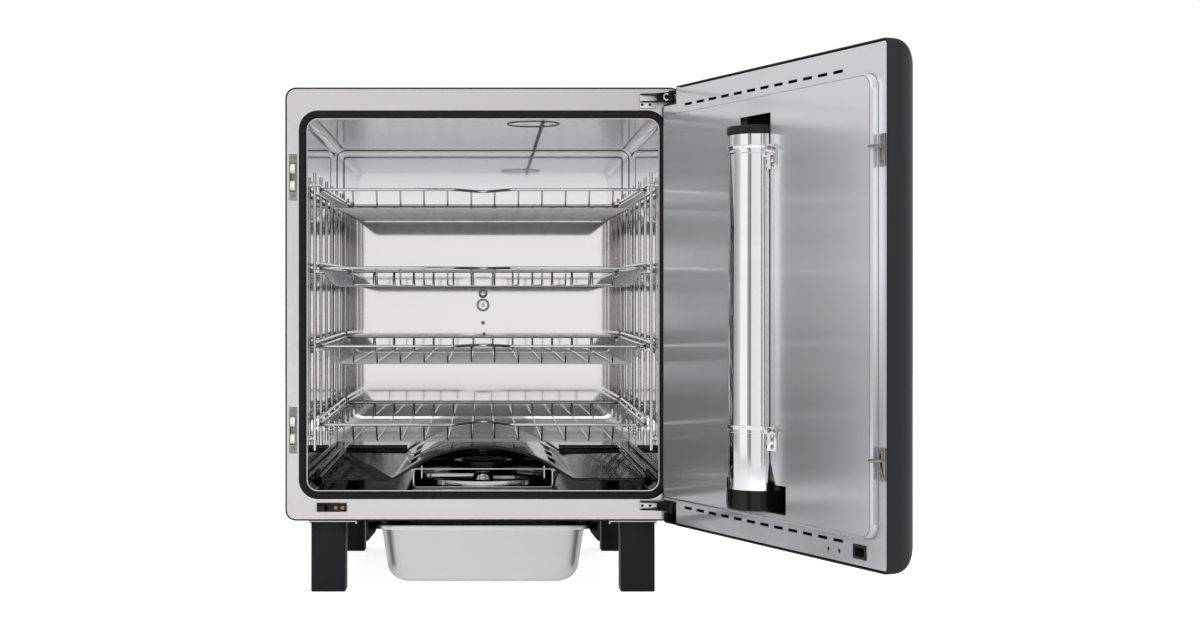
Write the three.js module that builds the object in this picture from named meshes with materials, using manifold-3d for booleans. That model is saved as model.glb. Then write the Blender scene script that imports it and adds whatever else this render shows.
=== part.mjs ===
// Cabinet food smoker: an insulated cavity with four wire baskets, a hinged door that carries
// the wood-puck feeder, a burner under an arched deflector, and a drip pan between the legs.
// Millimetres. While modelling, x is 0 at the middle of the cabinet, y is 0 at the face that the
// door closes on and grows to the back, and z is 0 on the floor.
import * as THREE from "three";
import Module from "manifold-3d";
import { mergeVertices } from "three/addons/utils/BufferGeometryUtils.js";

const wasm = await Module();
wasm.setup();

// Clearances and cuts
const touchGap = 0.3; // kept between pieces that rest on or in each other
const cutOverrun = 6; // how far a cut runs past the face it opens
const weldDistance = 1e-4;
const jointOverlap = 0.5; // how far a bar is sunk into the piece it is welded to

// Drip pan, a half-size gastronorm pan; the cabinet is built round it
const panWidth = 265;
const panLength = 325;
const panHeight = 71.5;
const panGroundGap = 6;
const panTopGap = 6.5; // from the pan's rim to the cabinet

// Cabinet
const cabinetMargin = 97.5; // how far the cabinet reaches past the pan on each side
const cabinetWidth = panWidth + 2 * cabinetMargin;
const cabinetHeight = 504;
const cabinetDepth = 490;
const panRimTop = panGroundGap + panHeight;
const cabinetBottom = panRimTop + panTopGap;
const cabinetCorner = 12;
const wrapSheet = 1.5;
const frameSheet = 1.2;
const frameFlange = 14; // depth of the face frame's folded edge

// Cavity
const cavitySide = 26; // thickness of the insulated walls
const cavityUnder = 35.5;
const cavityOver = 37;
const cavityBehind = 37;
const cavityWidth = cabinetWidth - 2 * cavitySide;
const cavityHeight = cabinetHeight - cavityUnder - cavityOver;
const cavityDepth = cabinetDepth - cavityBehind;
const cavityFloor = cabinetBottom + cavityUnder;
const cavityTop = cavityFloor + cavityHeight;
const cavityCorner = 12;
const linerSheet = 1;
const insulationBack = 20; // thickness of the insulation behind the liner
const ventRadius = 33;
const ventX = 63;
const ventY = 64;
const ventRib = 3;
const ventDrop = 2;

// Door gasket
const gasketWidth = 9;
const gasketProud = 4;
const gasketCorner = 18;
const gasketOffset = 1.2; // from the cavity's wall to the gasket's inner edge

// Back panel
const panelSheet = 1.2;
const panelFlange = 10;
const louvreCount = 8;
const louvreLength = 70;
const louvreHeight = 3;
const louvrePitch = 9;
const louvreX = 90;
const louvreZ = 160;

// Power inlet and control board
const inletWidth = 27;
const inletHeight = 20;
const inletDepth = 18;
const inletLip = 2.5;
const inletWall = 2.5;
const inletFloor = 4;
const inletInset = 70; // from the cabinet's side
const inletX = cabinetWidth / 2 - inletInset;
const inletZ = 125;
const boardWidth = 160;
const boardHeight = 110;
const boardSheet = 1.6;
const boardX = -95;
const boardZ = 330;
const boardPost = 3; // radius of the standoffs
const boardPostInset = 8;
const boardPostLength = 7;
const relayWidth = 20;
const relayDepth = 2.4;
const relayCount = 3;
const relayPitch = 42;

// Legs and their rails
const legSide = 40;
const legWall = 3;
const legCorner = 3;
const legInset = 49; // from the cabinet's side to the leg's middle
const legX = cabinetWidth / 2 - legInset;
const frontLegY = 30;
const rearLegInset = 95;
const rearLegY = cabinetDepth - rearLegInset;
const railWidth = 56;
const railInset = 55;
const railCentre = cabinetWidth / 2 - railInset;
const railSheet = 1.5;
const railLip = 4;
const railFront = 5;
const railShort = 70; // how much shorter than the cabinet is deep
const railLength = cabinetDepth - railShort;

// Drip pan
const panFront = 10;
const panRimWidth = 11;
const panLip = 5.5;
const panSheet = 1;
const panDraft = 7;
const panBottomRadius = 24;
const panCorner = 30;
const panRimCorner = 34;

// Pan runners
const runnerWidth = 11;
const runnerHeight = 24.7;
const runnerWeb = 3;
const runnerLedge = 2.5;
const runnerBase = 10;
const runnerSide = 1.5; // play between the pan's rim and the runner's web
const runnerFront = 12;
const runnerShort = 3;
const runnerLength = panLength - runnerShort;

// Drip chute
const chuteSide = 60;
const chuteSheet = 1.2;
const chuteY = 238;
const chuteFlange = 6;
const chuteDrop = 3.2; // how far it hangs below the cabinet

// Wire baskets
const basketCount = 4;
const topBasketDrop = 81; // from the cavity's ceiling to the top basket's rim
const lowBasketRise = 75.7; // from the cavity's floor to the lowest basket's rim
const topBasketZ = cavityTop - topBasketDrop;
const basketPitch = (topBasketZ - cavityFloor - lowBasketRise) / (basketCount - 1);
const basketFront = 12;
const basketBackGap = 13;
const basketBack = cavityDepth - basketBackGap;
const basketSideGap = 12.6;
const basketHalfWidth = cavityWidth / 2 - basketSideGap;
const basketRise = 3.6; // the back rim is this much higher than the front one
const rimWire = 1.65; // radius
const meshWire = 1;
const basketDepth = 19.5;
const basketSideSlope = 16;
const basketEndSlope = 15;
const rimCorner = 14;
const notchHalfWidth = 40; // the bow in the front rim that clears the feeder tube
const notchDepth = 45;
const notchSteps = 12;
const longWireCount = 12;
const longWireMargin = 39.05; // from the rim's side to the first long wire
const longWirePitch = (2 * (basketHalfWidth - longWireMargin)) / (longWireCount - 1);
const crossWireCount = 20;
const crossWireMargin = 20;

// Basket supports
const supportInset = 7; // from the cavity's wall to the posts' middle
const supportX = cavityWidth / 2 - supportInset;
const supportWire = 4; // side of the bar
const supportBarInset = 3.6; // from the posts' middle to the rails' middle
const supportRise = 45.5;
const supportBottom = cavityFloor + supportRise;
const supportOver = 20; // past the top basket's rim
const supportTop = topBasketZ + supportOver;
const supportFront = 15;
const supportBackGap = 23;
const supportBack = cavityDepth - supportBackGap;
const supportPosts = 6;
const railAbove = 2; // free height over a basket's rim
const supportPeg = 6;
const supportPegInset = 14;

// Deflector
const deflectorSheet = 1.2;
const deflectorRise = 11.5; // height of its side flats over the cavity's floor
const deflectorFlat = cavityFloor + deflectorRise;
const deflectorSideGap = 14;
const deflectorHalf = cavityWidth / 2 - deflectorSideGap;
const deflectorShoulder = 107;
const deflectorArch = 62;
const deflectorArchRise = 37.5;
const deflectorArchFoot = cavityFloor + deflectorArchRise;
const deflectorCrown = 50;
const deflectorTop = cavityFloor + deflectorCrown;
const deflectorFront = 30;
const deflectorBackGap = 23;
const deflectorBack = cavityDepth - deflectorBackGap;
const deflectorHem = 3;
const deflectorUpturn = 16;
const louvreSlots = 3;
const louvreSlotLength = 70;
const louvreSlotWidth = 9;
const louvreSlotPitch = 100;

// Heaters
const heaterRadius = 3.2;
const heaterInset = 7;
const heaterX = cavityWidth / 2 - heaterInset;
const heaterRise = 6.5;
const heaterLow = cavityFloor + heaterRise;
const heaterSpacing = 10;
const heaterFront = 60;
const heaterTail = 14; // length behind the cavity's back wall

// Burner
const burnerX = 0;
const burnerY = 115;
const burnerRadius = 84;
const burnerSheet = 1.2;
const burnerWall = 22;
const burnerLip = 7; // height left of the wall at the front
const burnerOpen = 45; // how far back the low front reaches
const plateRadius = 36;
const plateY = 150;
const plateRise = 17.5;
const plateUnder = cavityFloor + plateRise;
const plateThick = 6;
const plateTop = plateUnder + plateThick;
const plateRing = 2;
const plateRings = 2;
const plateStem = 9;
const guardWidth = 165;
const guardHeight = 23;
const guardY = 26.5;
const guardDepth = 3;
const guardBar = 1.5;
const guardCorner = 4;
const hubY = 70;
const hubRadius = 12.5;
const hubHeight = 14;
const hubBore = 3.4;
const spindleRadius = 3;
const armLength = 67;
const armWidth = 8;
const armTip = 5;
const armLow = 6; // above the hub's foot
const armThick = 6;
const bladeLength = 38;

// Temperature probes
const bossRadius = 9;
const bossDepth = 6;
const bossRib = 1.6;
const probeZ = 335;
const probeRadius = 2.5;
const probeReach = 30;
const stemRadius = 4;
const stemLength = 18;
const sensorRadius = 1.2;
const sensorX = 71;
const sensorFront = 8;
const sensorDrop = 3.7;
const clipWidth = 5;
const clipCount = 3;

// Roller catches
const catchInset = 9; // from the cabinet's side
const catchX = catchInset - cabinetWidth / 2;
const catchTopDrop = 67.5; // from the cavity's ceiling
const catchLowRise = 69.9; // from the cavity's floor
const catchHeights = [cavityTop - catchTopDrop, cavityFloor + catchLowRise];
const rollerRadius = 6;
const rollerWidth = 5.4;
const rollerBore = 1.6;
const axleRadius = 1.25;
const rollerOffset = 10;
const rollerDepth = -0.5; // the rollers' axis, just in front of the face
const catchPlateWidth = 9.2;
const catchPlateHeight = 54;
const catchPlate = 1;
const catchWindow = 35;
const catchWall = 0.8;
const catchRear = 9;
const catchFront = 3.5;

// Strikes on the door
const strikeWidth = 9.5;
const strikeShift = 2.2; // outwards from the tongue
const strikeDrop = 3.5; // the plate's middle is this much lower than the tongue
const strikeHeight = 31;
const strikeSheet = 1;
const tongueWidth = 5;
const tongueThick = 3;
const tongueReach = 13.2;
const tongueTaper = 2.5;

// Door interlock, placed from the cabinet's left side and underside
const latchSide = -cabinetWidth / 2;
const latchInset = 37;
const latchLeft = latchSide + latchInset;
const latchFlangeEnd = 71.5;
const latchRight = latchSide + latchFlangeEnd;
const latchBlockEnd = 62;
const latchBlockRight = latchSide + latchBlockEnd;
const latchFlangeStart = 50;
const latchFlangeLeft = latchSide + latchFlangeStart;
const latchRise = 10.8;
const latchTall = 9.8;
const latchLow = cabinetBottom + latchRise;
const latchHigh = latchLow + latchTall;
const latchProud = 4;
const latchRear = 14;
const latchPocketEnd = 48.5;
const latchPocketRight = latchSide + latchPocketEnd;
const latchPocketWall = 1.5;
const hookInset = 45;
const hookX = latchSide + hookInset;
const hookY = 6;
const hookBoss = 3;
const hookBore = 1.5;
const hookPin = 1.2;
const hookThick = 5;
const hookReach = 20;
const hookShank = 3;
const hookBarb = 3.6;
const hookBarbLength = 5;
const socketWidth = 22;
const socketHeight = 14;
const socketInset = 46.5;
const socketX = latchSide + socketInset;
const socketRise = 15.2;
const socketZ = cabinetBottom + socketRise;
const socketWall = 1.2;
const socketRim = 1.6;
const socketDepth = 18;
const socketFlange = 0.8;

// Door and hinges
const doorOpenAngle = 111.5; // degrees from closed, as it stands
const doorUnder = 1; // how far the door reaches below the cabinet
const doorShort = 2; // how much lower than the cabinet it is
const doorBottom = cabinetBottom - doorUnder;
const doorHeight = cabinetHeight - doorShort;
const doorTop = doorBottom + doorHeight;
const doorThickness = 45;
const doorGap = 12.3; // from the face to the door's flange when closed
const doorSheet = 1.5;
const doorFillet = 36;
const doorFilletSteps = 4;
const doorCorner = 5;
const doorCornerGrowthShare = 0.25; // how fast the corner widens towards the outside
const panelMargin = 3; // from the shell's top and bottom to the inner panel
const doorCornerSteps = 3;
const hingeInset = 12;
const hingeX = cabinetWidth / 2 - hingeInset;
const hingeY = -18;
const innerSheet = 1.2;
const embossProud = 8;
const embossShoulder = 2.5;
const embossSide = 15.3;
const embossHalfWidth = cabinetWidth / 2 - embossSide;
const embossRise = 30.5;
const embossBottom = doorBottom + embossRise;
const embossDrop = 31;
const embossTop = doorTop - embossDrop;
const embossCorner = 15;
const ventSlotCount = 12;
const ventSlotLength = 18;
const ventSlotHeight = 3;
const ventSlotFree = 85.6; // from the door's free edge to the first slot's middle
const ventSlotHung = 62.4; // from its hung edge to the last slot's middle
const ventSlotPitch = (cabinetWidth - ventSlotFree - ventSlotHung) / (ventSlotCount - 1);
const topVentDrop = 23;
const topVentZ = doorTop - topVentDrop;
const bottomVentRise = 22.9;
const bottomVentZ = doorBottom + bottomVentRise;
const flangeHoleInsets = [83.4, 103.3]; // two small holes, from the door's free edge
const flangeHoleRise = 12.7;
const flangeHoleRadius = 2.2;
const doorFillSide = 25;
const doorFillHalf = cabinetWidth / 2 - doorFillSide;
const doorFillInset = 3;
const pocketWidth = 33.5;
const upperPocketHeight = 18.5;
const lowerPocketHeight = 25;
const pocketInset = 2; // keeps its open ends inside the door's rounded outside
const pocketDepth = 20.3;
const pocketWall = 1.5;
const hingePinRadius = 3;
const hingePinHead = 4.2;
const hingePinHeadHeight = 1.5;
const hingeEye = 5.4;
const hingeEyeBore = 3.4;
const hingeArmHeight = 10.4;
const hingeLeaf = 1.6;
const hingeLeafDepth = 7;
const hingeLeafRake = 5;
const hingeTab = 6; // how far the upper arm's foot reaches below it
const hingeArmHalf = 4.8;
const hingeFootStart = 48; // from the cabinet's side
const hingeFootEnd = 28;
const hingeFootLeft = cabinetWidth / 2 - hingeFootStart;
const hingeFootRight = cabinetWidth / 2 - hingeFootEnd;
const hingeFoot = 2.5;
const upperArmRise = 3.5; // from the pocket's floor to the arm
const lowerArmRise = 0.8;

// Puck feeder on the door
const tubeRadius = 30;
const tubeWall = 1.2;
const feederX = 2.7;
const tubeY = -7;
const cupRadius = 31.5;
const cupHeight = 21.2;
const cupFloor = 3;
const cupWall = 1.2;
const capHeight = 8.6;
const capDisc = 2.7;
const slotHalf = 31.9;
const slotDrop = 51.8; // from the door's top
const slotTop = doorTop - slotDrop;
const slotFlareHalf = 42;
const slotFootHalf = 62.1;
const slotFootRise = 38.2; // from the door's bottom
const slotFootTall = 29.3;
const slotFlareTall = 51.8;
const slotFootBottom = doorBottom + slotFootRise;
const slotFootTop = slotFootBottom + slotFootTall;
const slotFlareTop = slotFootBottom + slotFlareTall;
const feederFootRise = 0.8;
const feederFoot = slotFootBottom + feederFootRise;
const troughRadius = 34;
const troughSheet = 1.2;
const troughFoot = 1.5;
const tubeDrop = 15.2; // from the slot's top to the tube's
const tubeTop = slotTop - tubeDrop;
const troughWellDepth = 18;
const upperClampDrop = 21.7;
const lowerClampRise = 84.5;
const clampHeights = [tubeTop - upperClampDrop, feederFoot + lowerClampRise];
const clampWidth = 8;
const clampSheet = 1.2;
const earWidth = 16;
const earDrop = 21.6;
const earSheet = 1.5;

// Handle and control panel on the door's outside
const handleInset = 80; // from the door's free edge
const handleX = handleInset - cabinetWidth / 2;
const handleLength = 240;
const handleMiddle = 335;
const handleRadius = 7;
const handleProud = 27;
const handleBend = 13;
const glassWidth = 170;
const glassHeight = 48;
const glassDrop = 65; // from the door's top to the glass's middle
const glassZ = doorTop - glassDrop;
const glassSheet = 1.5;
const glassCorner = 6;

// Facets
const roundSides = 24;
const smallSides = 12;
const wireSides = 4;
const cornerSteps = 2;

// Places that follow from the sizes above
const cabinetMiddle = cabinetBottom + cabinetHeight / 2;
const cavityMiddle = cavityFloor + cavityHeight / 2;
const linerFront = frameSheet + touchGap;
const insulationFront = frameFlange + touchGap;
const insulationRear = cavityDepth + linerSheet + insulationBack;
const underside = cabinetBottom - touchGap;
const doorInside = -doorGap;
const doorOutside = doorInside - doorThickness;
const doorMiddle = doorBottom + doorHeight / 2;
const doorHalfWidth = cabinetWidth / 2;
const plateauFace = doorInside + embossProud;
const cupTop = feederFoot + touchGap + cupHeight;

const turn = THREE.MathUtils.degToRad;

// Turns a closed three.js geometry into a solid that can be joined and cut.
function solid(geometry) {
  const bare = geometry.clone();
  bare.deleteAttribute("normal");
  bare.deleteAttribute("uv");
  const merged = mergeVertices(bare, weldDistance);
  return new wasm.Manifold(
    new wasm.Mesh({
      numProp: 3,
      vertProperties: merged.attributes.position.array,
      triVerts: new Uint32Array(merged.index.array),
    }),
  );
}

function block([x0, x1], [y0, y1], [z0, z1]) {
  const box = new THREE.BoxGeometry(x1 - x0, y1 - y0, z1 - z0);
  return solid(box.translate((x0 + x1) / 2, (y0 + y1) / 2, (z0 + z1) / 2));
}

function extruded(shape, depth, steps) {
  return new THREE.ExtrudeGeometry(shape, { depth, bevelEnabled: false, curveSegments: steps });
}

// Prisms: the outline is drawn in X and Z, in X and Y, or in Y and Z.
function prismY(shape, [y0, y1], steps = cornerSteps) {
  return solid(extruded(shape, y1 - y0, steps).rotateX(Math.PI / 2).translate(0, y1, 0));
}

function prismZ(shape, [z0, z1], steps = cornerSteps) {
  return solid(extruded(shape, z1 - z0, steps).translate(0, 0, z0));
}

const yzPlane = new THREE.Matrix4().makeBasis(
  new THREE.Vector3(0, 1, 0),
  new THREE.Vector3(0, 0, 1),
  new THREE.Vector3(1, 0, 0),
);

function prismX(shape, [x0, x1], steps = cornerSteps) {
  return solid(extruded(shape, x1 - x0, steps).applyMatrix4(yzPlane).translate(x0, 0, 0));
}

function outline(points) {
  return new THREE.Shape(points.map(([a, b]) => new THREE.Vector2(a, b)));
}

function rectangle([a0, a1], [b0, b1]) {
  return outline([
    [a0, b0],
    [a1, b0],
    [a1, b1],
    [a0, b1],
  ]);
}

function roundedRectangle(width, height, corner, a = 0, b = 0) {
  const x = width / 2 - corner;
  const y = height / 2 - corner;
  const shape = new THREE.Shape();
  shape.absarc(a + x, b - y, corner, -Math.PI / 2, 0);
  shape.absarc(a + x, b + y, corner, 0, Math.PI / 2);
  shape.absarc(a - x, b + y, corner, Math.PI / 2, Math.PI);
  shape.absarc(a - x, b - y, corner, Math.PI, 1.5 * Math.PI);
  shape.closePath();
  return shape;
}

// Round bars and discs along an axis, from one place to another.
function discZ(radius, [z0, z1], x, y, sides = roundSides) {
  const bar = new THREE.CylinderGeometry(radius, radius, z1 - z0, sides).rotateX(Math.PI / 2);
  return solid(bar.translate(x, y, (z0 + z1) / 2));
}

function discY(radius, [y0, y1], x, z, sides = roundSides) {
  const bar = new THREE.CylinderGeometry(radius, radius, y1 - y0, sides);
  return solid(bar.translate(x, (y0 + y1) / 2, z));
}

function discX(radius, [x0, x1], y, z, sides = smallSides) {
  const bar = new THREE.CylinderGeometry(radius, radius, x1 - x0, sides).rotateZ(Math.PI / 2);
  return solid(bar.translate((x0 + x1) / 2, y, z));
}

// A body of revolution about a vertical axis; the profile is radius and height.
function turnedZ(profile, x, y, sides = roundSides) {
  const closed = [...profile, profile[0]].map(([r, z]) => new THREE.Vector2(r, z));
  return solid(new THREE.LatheGeometry(closed, sides).rotateX(Math.PI / 2).translate(x, y, 0));
}

// A path that runs straight from each point to the next, for a bar with bends.
class BentPath extends THREE.Curve {
  constructor(points) {
    super();
    this.points = points.map((p) => new THREE.Vector3(...p));
  }
  indexAt(u) {
    return Math.round(u * (this.points.length - 1));
  }
  getPointAt(u) {
    return this.points[this.indexAt(u)].clone();
  }
  getTangentAt(u) {
    const i = this.indexAt(u);
    const here = this.points[i];
    const along = new THREE.Vector3();
    if (i > 0) along.add(here.clone().sub(this.points[i - 1]).normalize());
    if (i < this.points.length - 1) along.add(this.points[i + 1].clone().sub(here).normalize());
    return along.normalize();
  }
}

function bentBar(points, radius, sides) {
  const section = new THREE.Shape();
  for (let i = 0; i < sides; i++) {
    const angle = (2 * Math.PI * i) / sides;
    const corner = [radius * Math.cos(angle), radius * Math.sin(angle)];
    if (i === 0) section.moveTo(...corner);
    else section.lineTo(...corner);
  }
  const extrudePath = new BentPath(points);
  return solid(new THREE.ExtrudeGeometry(section, { steps: points.length - 1, extrudePath }));
}

// A closed surface through rings of points; with open ends the first and last ring are capped.
function skin(rings, closed) {
  const positions = rings.flat(2);
  const count = rings[0].length;
  const index = [];
  const spans = closed ? rings.length : rings.length - 1;
  for (let i = 0; i < spans; i++) {
    const low = i * count;
    const high = ((i + 1) % rings.length) * count;
    for (let j = 0; j < count; j++) {
      const next = (j + 1) % count;
      index.push(low + j, low + next, high + next);
      index.push(low + j, high + next, high + j);
    }
  }
  if (!closed) {
    const last = (rings.length - 1) * count;
    for (let j = 1; j < count - 1; j++) {
      index.push(0, j + 1, j);
      index.push(last, last + j, last + j + 1);
    }
  }
  const made = new THREE.BufferGeometry();
  made.setAttribute("position", new THREE.Float32BufferAttribute(positions, 3));
  made.setIndex(index);
  const body = solid(made);
  if (body.volume() > 0) return body;
  made.setIndex(index.reverse());
  return solid(made);
}

function loopPoints(shape, steps) {
  const points = shape.getPoints(steps);
  const tidy = points.filter((p, i) => i === 0 || p.distanceTo(points[i - 1]) > weldDistance);
  if (tidy[0].distanceTo(tidy.at(-1)) <= weldDistance) tidy.pop();
  return tidy;
}

// Carries a section round a loop; each section point is [outwards, upwards], and place turns
// loop coordinates and the upward measure into a point.
function loopBar(loop, section, place) {
  const rings = loop.map((point, i) => {
    const before = loop[(i + loop.length - 1) % loop.length];
    const after = loop[(i + 1) % loop.length];
    const arriving = point.clone().sub(before).normalize();
    const leaving = after.clone().sub(point).normalize();
    const along = arriving.clone().add(leaving).normalize();
    const mitre = 1 / along.dot(leaving);
    return section.map(([out, up]) => {
      const a = point.x + along.y * out * mitre;
      const b = point.y - along.x * out * mitre;
      return place(a, b, up);
    });
  });
  return skin(rings, true);
}

function joined(...solids) {
  return solids.reduce((a, b) => a.add(b));
}

const finishes = {
  anthracite: { color: 0x3a3c40, roughness: 0.45, metalness: 0.5 },
  stainless: { color: 0xc9c5c4, roughness: 0.3, metalness: 1 },
  mirror: { color: 0xd8d6d6, roughness: 0.08, metalness: 1 },
  chrome: { color: 0xdedfe0, roughness: 0.12, metalness: 1 },
  black: { color: 0x1d1e20, roughness: 0.5, metalness: 0 },
  rubber: { color: 0x1b1b1d, roughness: 0.6, metalness: 0 },
  nickel: { color: 0x96948c, roughness: 0.35, metalness: 1 },
  ivory: { color: 0xf0f0e8, roughness: 0.4, metalness: 0 },
  wool: { color: 0xd9d2bd, roughness: 1, metalness: 0 },
  board: { color: 0x2f6b45, roughness: 0.6, metalness: 0 },
  glass: { color: 0x0d0e10, roughness: 0.08, metalness: 0 },
};
const materials = Object.fromEntries(
  Object.entries(finishes).map(([name, finish]) => [
    name,
    new THREE.MeshStandardMaterial({ name, flatShading: true, ...finish }),
  ]),
);

function named(name, body, material) {
  const { numProp, vertProperties, triVerts } = body.getMesh();
  const points = new THREE.InterleavedBuffer(vertProperties, numProp);
  const made = new THREE.BufferGeometry();
  made.setAttribute("position", new THREE.InterleavedBufferAttribute(points, 3, 0));
  made.setIndex(new THREE.BufferAttribute(triVerts, 1));
  const mesh = new THREE.Mesh(made.toNonIndexed(), materials[material]);
  mesh.geometry.computeVertexNormals();
  mesh.name = name;
  return mesh;
}

// Cabinet shell

function cabinetOutline(inset) {
  const width = cabinetWidth - 2 * inset;
  const height = cabinetHeight - 2 * inset;
  return roundedRectangle(width, height, cabinetCorner - inset, 0, cabinetMiddle);
}

function chuteHole(margin) {
  const half = chuteSide / 2 + margin;
  return block(
    [-half, half],
    [chuteY - half, chuteY + half],
    [cabinetBottom - cutOverrun, cavityFloor + cutOverrun],
  );
}

function outerWrap() {
  const outside = prismY(cabinetOutline(0), [0, cabinetDepth]);
  const inside = prismY(cabinetOutline(wrapSheet), [-cutOverrun, cabinetDepth + cutOverrun]);
  return outside.subtract(inside).subtract(chuteHole(touchGap));
}

function catchSlot(z) {
  const half = catchPlateWidth / 2 - touchGap / 2;
  const tall = catchWindow / 2 + touchGap;
  const depth = [-cutOverrun, frameSheet + cutOverrun];
  return block([catchX - half, catchX + half], depth, [z - tall, z + tall]);
}

function frontFrame() {
  const edge = wrapSheet + touchGap;
  const tray = prismY(cabinetOutline(edge), [0, frameFlange]);
  const hollow = prismY(cabinetOutline(edge + frameSheet), [frameSheet, frameFlange + cutOverrun]);
  const opening = prismY(
    roundedRectangle(cavityWidth, cavityHeight, cavityCorner, 0, cavityMiddle),
    [-cutOverrun, frameSheet + cutOverrun],
  );
  const latchHole = block(
    [latchLeft - touchGap, latchBlockRight + touchGap],
    [-cutOverrun, frameSheet + cutOverrun],
    [latchLow - touchGap, latchHigh + touchGap],
  );
  const cuts = joined(opening, latchHole, ...catchHeights.map(catchSlot));
  return tray.subtract(hollow).subtract(cuts);
}

function heaterHole(radius, side) {
  return joined(
    ...[heaterLow, heaterLow + heaterSpacing].map((z) =>
      discY(radius, [cavityDepth - cutOverrun, insulationRear + cutOverrun], side * heaterX, z, smallSides),
    ),
  );
}

function backWallHoles(margin) {
  const reach = [cavityDepth - cutOverrun, insulationRear + cutOverrun];
  return joined(
    heaterHole(heaterRadius + margin, 1),
    heaterHole(heaterRadius + margin, -1),
    discY(stemRadius + margin, reach, 0, probeZ, smallSides),
  );
}

function cavityLiner() {
  const corner = cavityCorner + linerSheet;
  const outside = prismY(
    roundedRectangle(cavityWidth + 2 * linerSheet, cavityHeight + 2 * linerSheet, corner, 0, cavityMiddle),
    [linerFront, cavityDepth + linerSheet],
  );
  const inside = prismY(
    roundedRectangle(cavityWidth, cavityHeight, cavityCorner, 0, cavityMiddle),
    [-cutOverrun, cavityDepth],
  );
  const ventProfile = [
    [ventRadius - ventRib, cavityTop - ventDrop],
    [ventRadius, cavityTop + linerSheet / 2],
    [ventRadius - 2 * ventRib, cavityTop + linerSheet / 2],
  ];
  const vent = turnedZ(ventProfile, ventX, ventY);
  const shell = outside.subtract(inside).subtract(chuteHole(touchGap));
  return shell.subtract(backWallHoles(touchGap)).add(vent);
}

function insulation() {
  const outside = prismY(cabinetOutline(wrapSheet + touchGap), [insulationFront, insulationRear]);
  const grow = 2 * (linerSheet + touchGap);
  const linerSpace = prismY(
    roundedRectangle(cavityWidth + grow, cavityHeight + grow, cavityCorner + grow / 2, 0, cavityMiddle),
    [-cutOverrun, cavityDepth + linerSheet + touchGap],
  );
  return outside.subtract(linerSpace).subtract(chuteHole(touchGap)).subtract(backWallHoles(touchGap));
}

function doorGasket() {
  const middle = gasketOffset + gasketWidth / 2;
  const loop = loopPoints(
    roundedRectangle(cavityWidth + 2 * middle, cavityHeight + 2 * middle, gasketCorner, 0, cavityMiddle),
    doorCornerSteps,
  );
  const half = gasketWidth / 2;
  const sectionShares = [
    [-1, 0],
    [1, 0],
    [1, 0.3],
    [0.71, 0.77],
    [0.22, 1],
    [-0.45, 1],
    [-1, 0.6],
  ];
  const section = sectionShares.map(([out, up]) => [
    out * half,
    touchGap + up * (gasketProud - touchGap),
  ]);
  return loopBar(loop, section, (a, b, up) => [a, -up, b]);
}

function backPanel() {
  const edge = wrapSheet + touchGap;
  const tray = prismY(cabinetOutline(edge), [cabinetDepth - panelFlange, cabinetDepth]);
  const hollow = prismY(
    cabinetOutline(edge + panelSheet),
    [cabinetDepth - panelFlange - cutOverrun, cabinetDepth - panelSheet],
  );
  const through = [cabinetDepth - panelSheet - cutOverrun, cabinetDepth + cutOverrun];
  const cuts = [];
  for (const side of [-1, 1]) {
    for (let i = 0; i < louvreCount; i++) {
      const z = louvreZ + i * louvrePitch;
      const x = side * louvreX;
      cuts.push(block([x - louvreLength / 2, x + louvreLength / 2], through, [z, z + louvreHeight]));
    }
  }
  const inletOutline = roundedRectangle(
    inletWidth + 2 * touchGap,
    inletHeight + 2 * touchGap,
    inletLip,
    inletX,
    inletZ,
  );
  cuts.push(prismY(inletOutline, through));
  return tray.subtract(hollow).subtract(joined(...cuts));
}

function powerInlet() {
  const body = prismY(
    roundedRectangle(inletWidth, inletHeight, inletLip, inletX, inletZ),
    [cabinetDepth - inletDepth + inletLip, cabinetDepth + touchGap + jointOverlap],
  );
  const lip = prismY(
    roundedRectangle(inletWidth + 2 * inletLip, inletHeight + 2 * inletLip, inletLip, inletX, inletZ),
    [cabinetDepth + touchGap, cabinetDepth + touchGap + inletLip],
  );
  const recess = prismY(
    roundedRectangle(inletWidth - 2 * inletWall, inletHeight - 2 * inletWall, inletLip, inletX, inletZ),
    [cabinetDepth - inletDepth + inletLip + inletFloor, cabinetDepth + cutOverrun],
  );
  return joined(body, lip).subtract(recess);
}

function controlBoard() {
  const back = cabinetDepth - panelSheet - touchGap;
  const front = back - boardPostLength;
  let body = block(
    [boardX - boardWidth / 2, boardX + boardWidth / 2],
    [front - boardSheet, front],
    [boardZ - boardHeight / 2, boardZ + boardHeight / 2],
  );
  for (const sideX of [-1, 1]) {
    for (const sideZ of [-1, 1]) {
      const x = boardX + sideX * (boardWidth / 2 - boardPostInset);
      const z = boardZ + sideZ * (boardHeight / 2 - boardPostInset);
      body = body.add(discY(boardPost, [front - jointOverlap, back], x, z, smallSides));
    }
  }
  for (let i = 0; i < relayCount; i++) {
    const x = boardX + (i - (relayCount - 1) / 2) * relayPitch;
    const deep = [front - boardSheet - relayDepth, front - boardSheet + jointOverlap];
    body = body.add(block([x - relayWidth / 2, x + relayWidth / 2], deep, [boardZ, boardZ + relayWidth]));
  }
  return body;
}

// Stand

function leg(x, y) {
  const top = underside - railSheet - touchGap;
  const outside = prismZ(roundedRectangle(legSide, legSide, legCorner, x, y), [0, top], 1);
  const inner = legSide - 2 * legWall;
  const inside = block(
    [x - inner / 2, x + inner / 2],
    [y - inner / 2, y + inner / 2],
    [legWall, top + cutOverrun],
  );
  return outside.subtract(inside);
}

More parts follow.
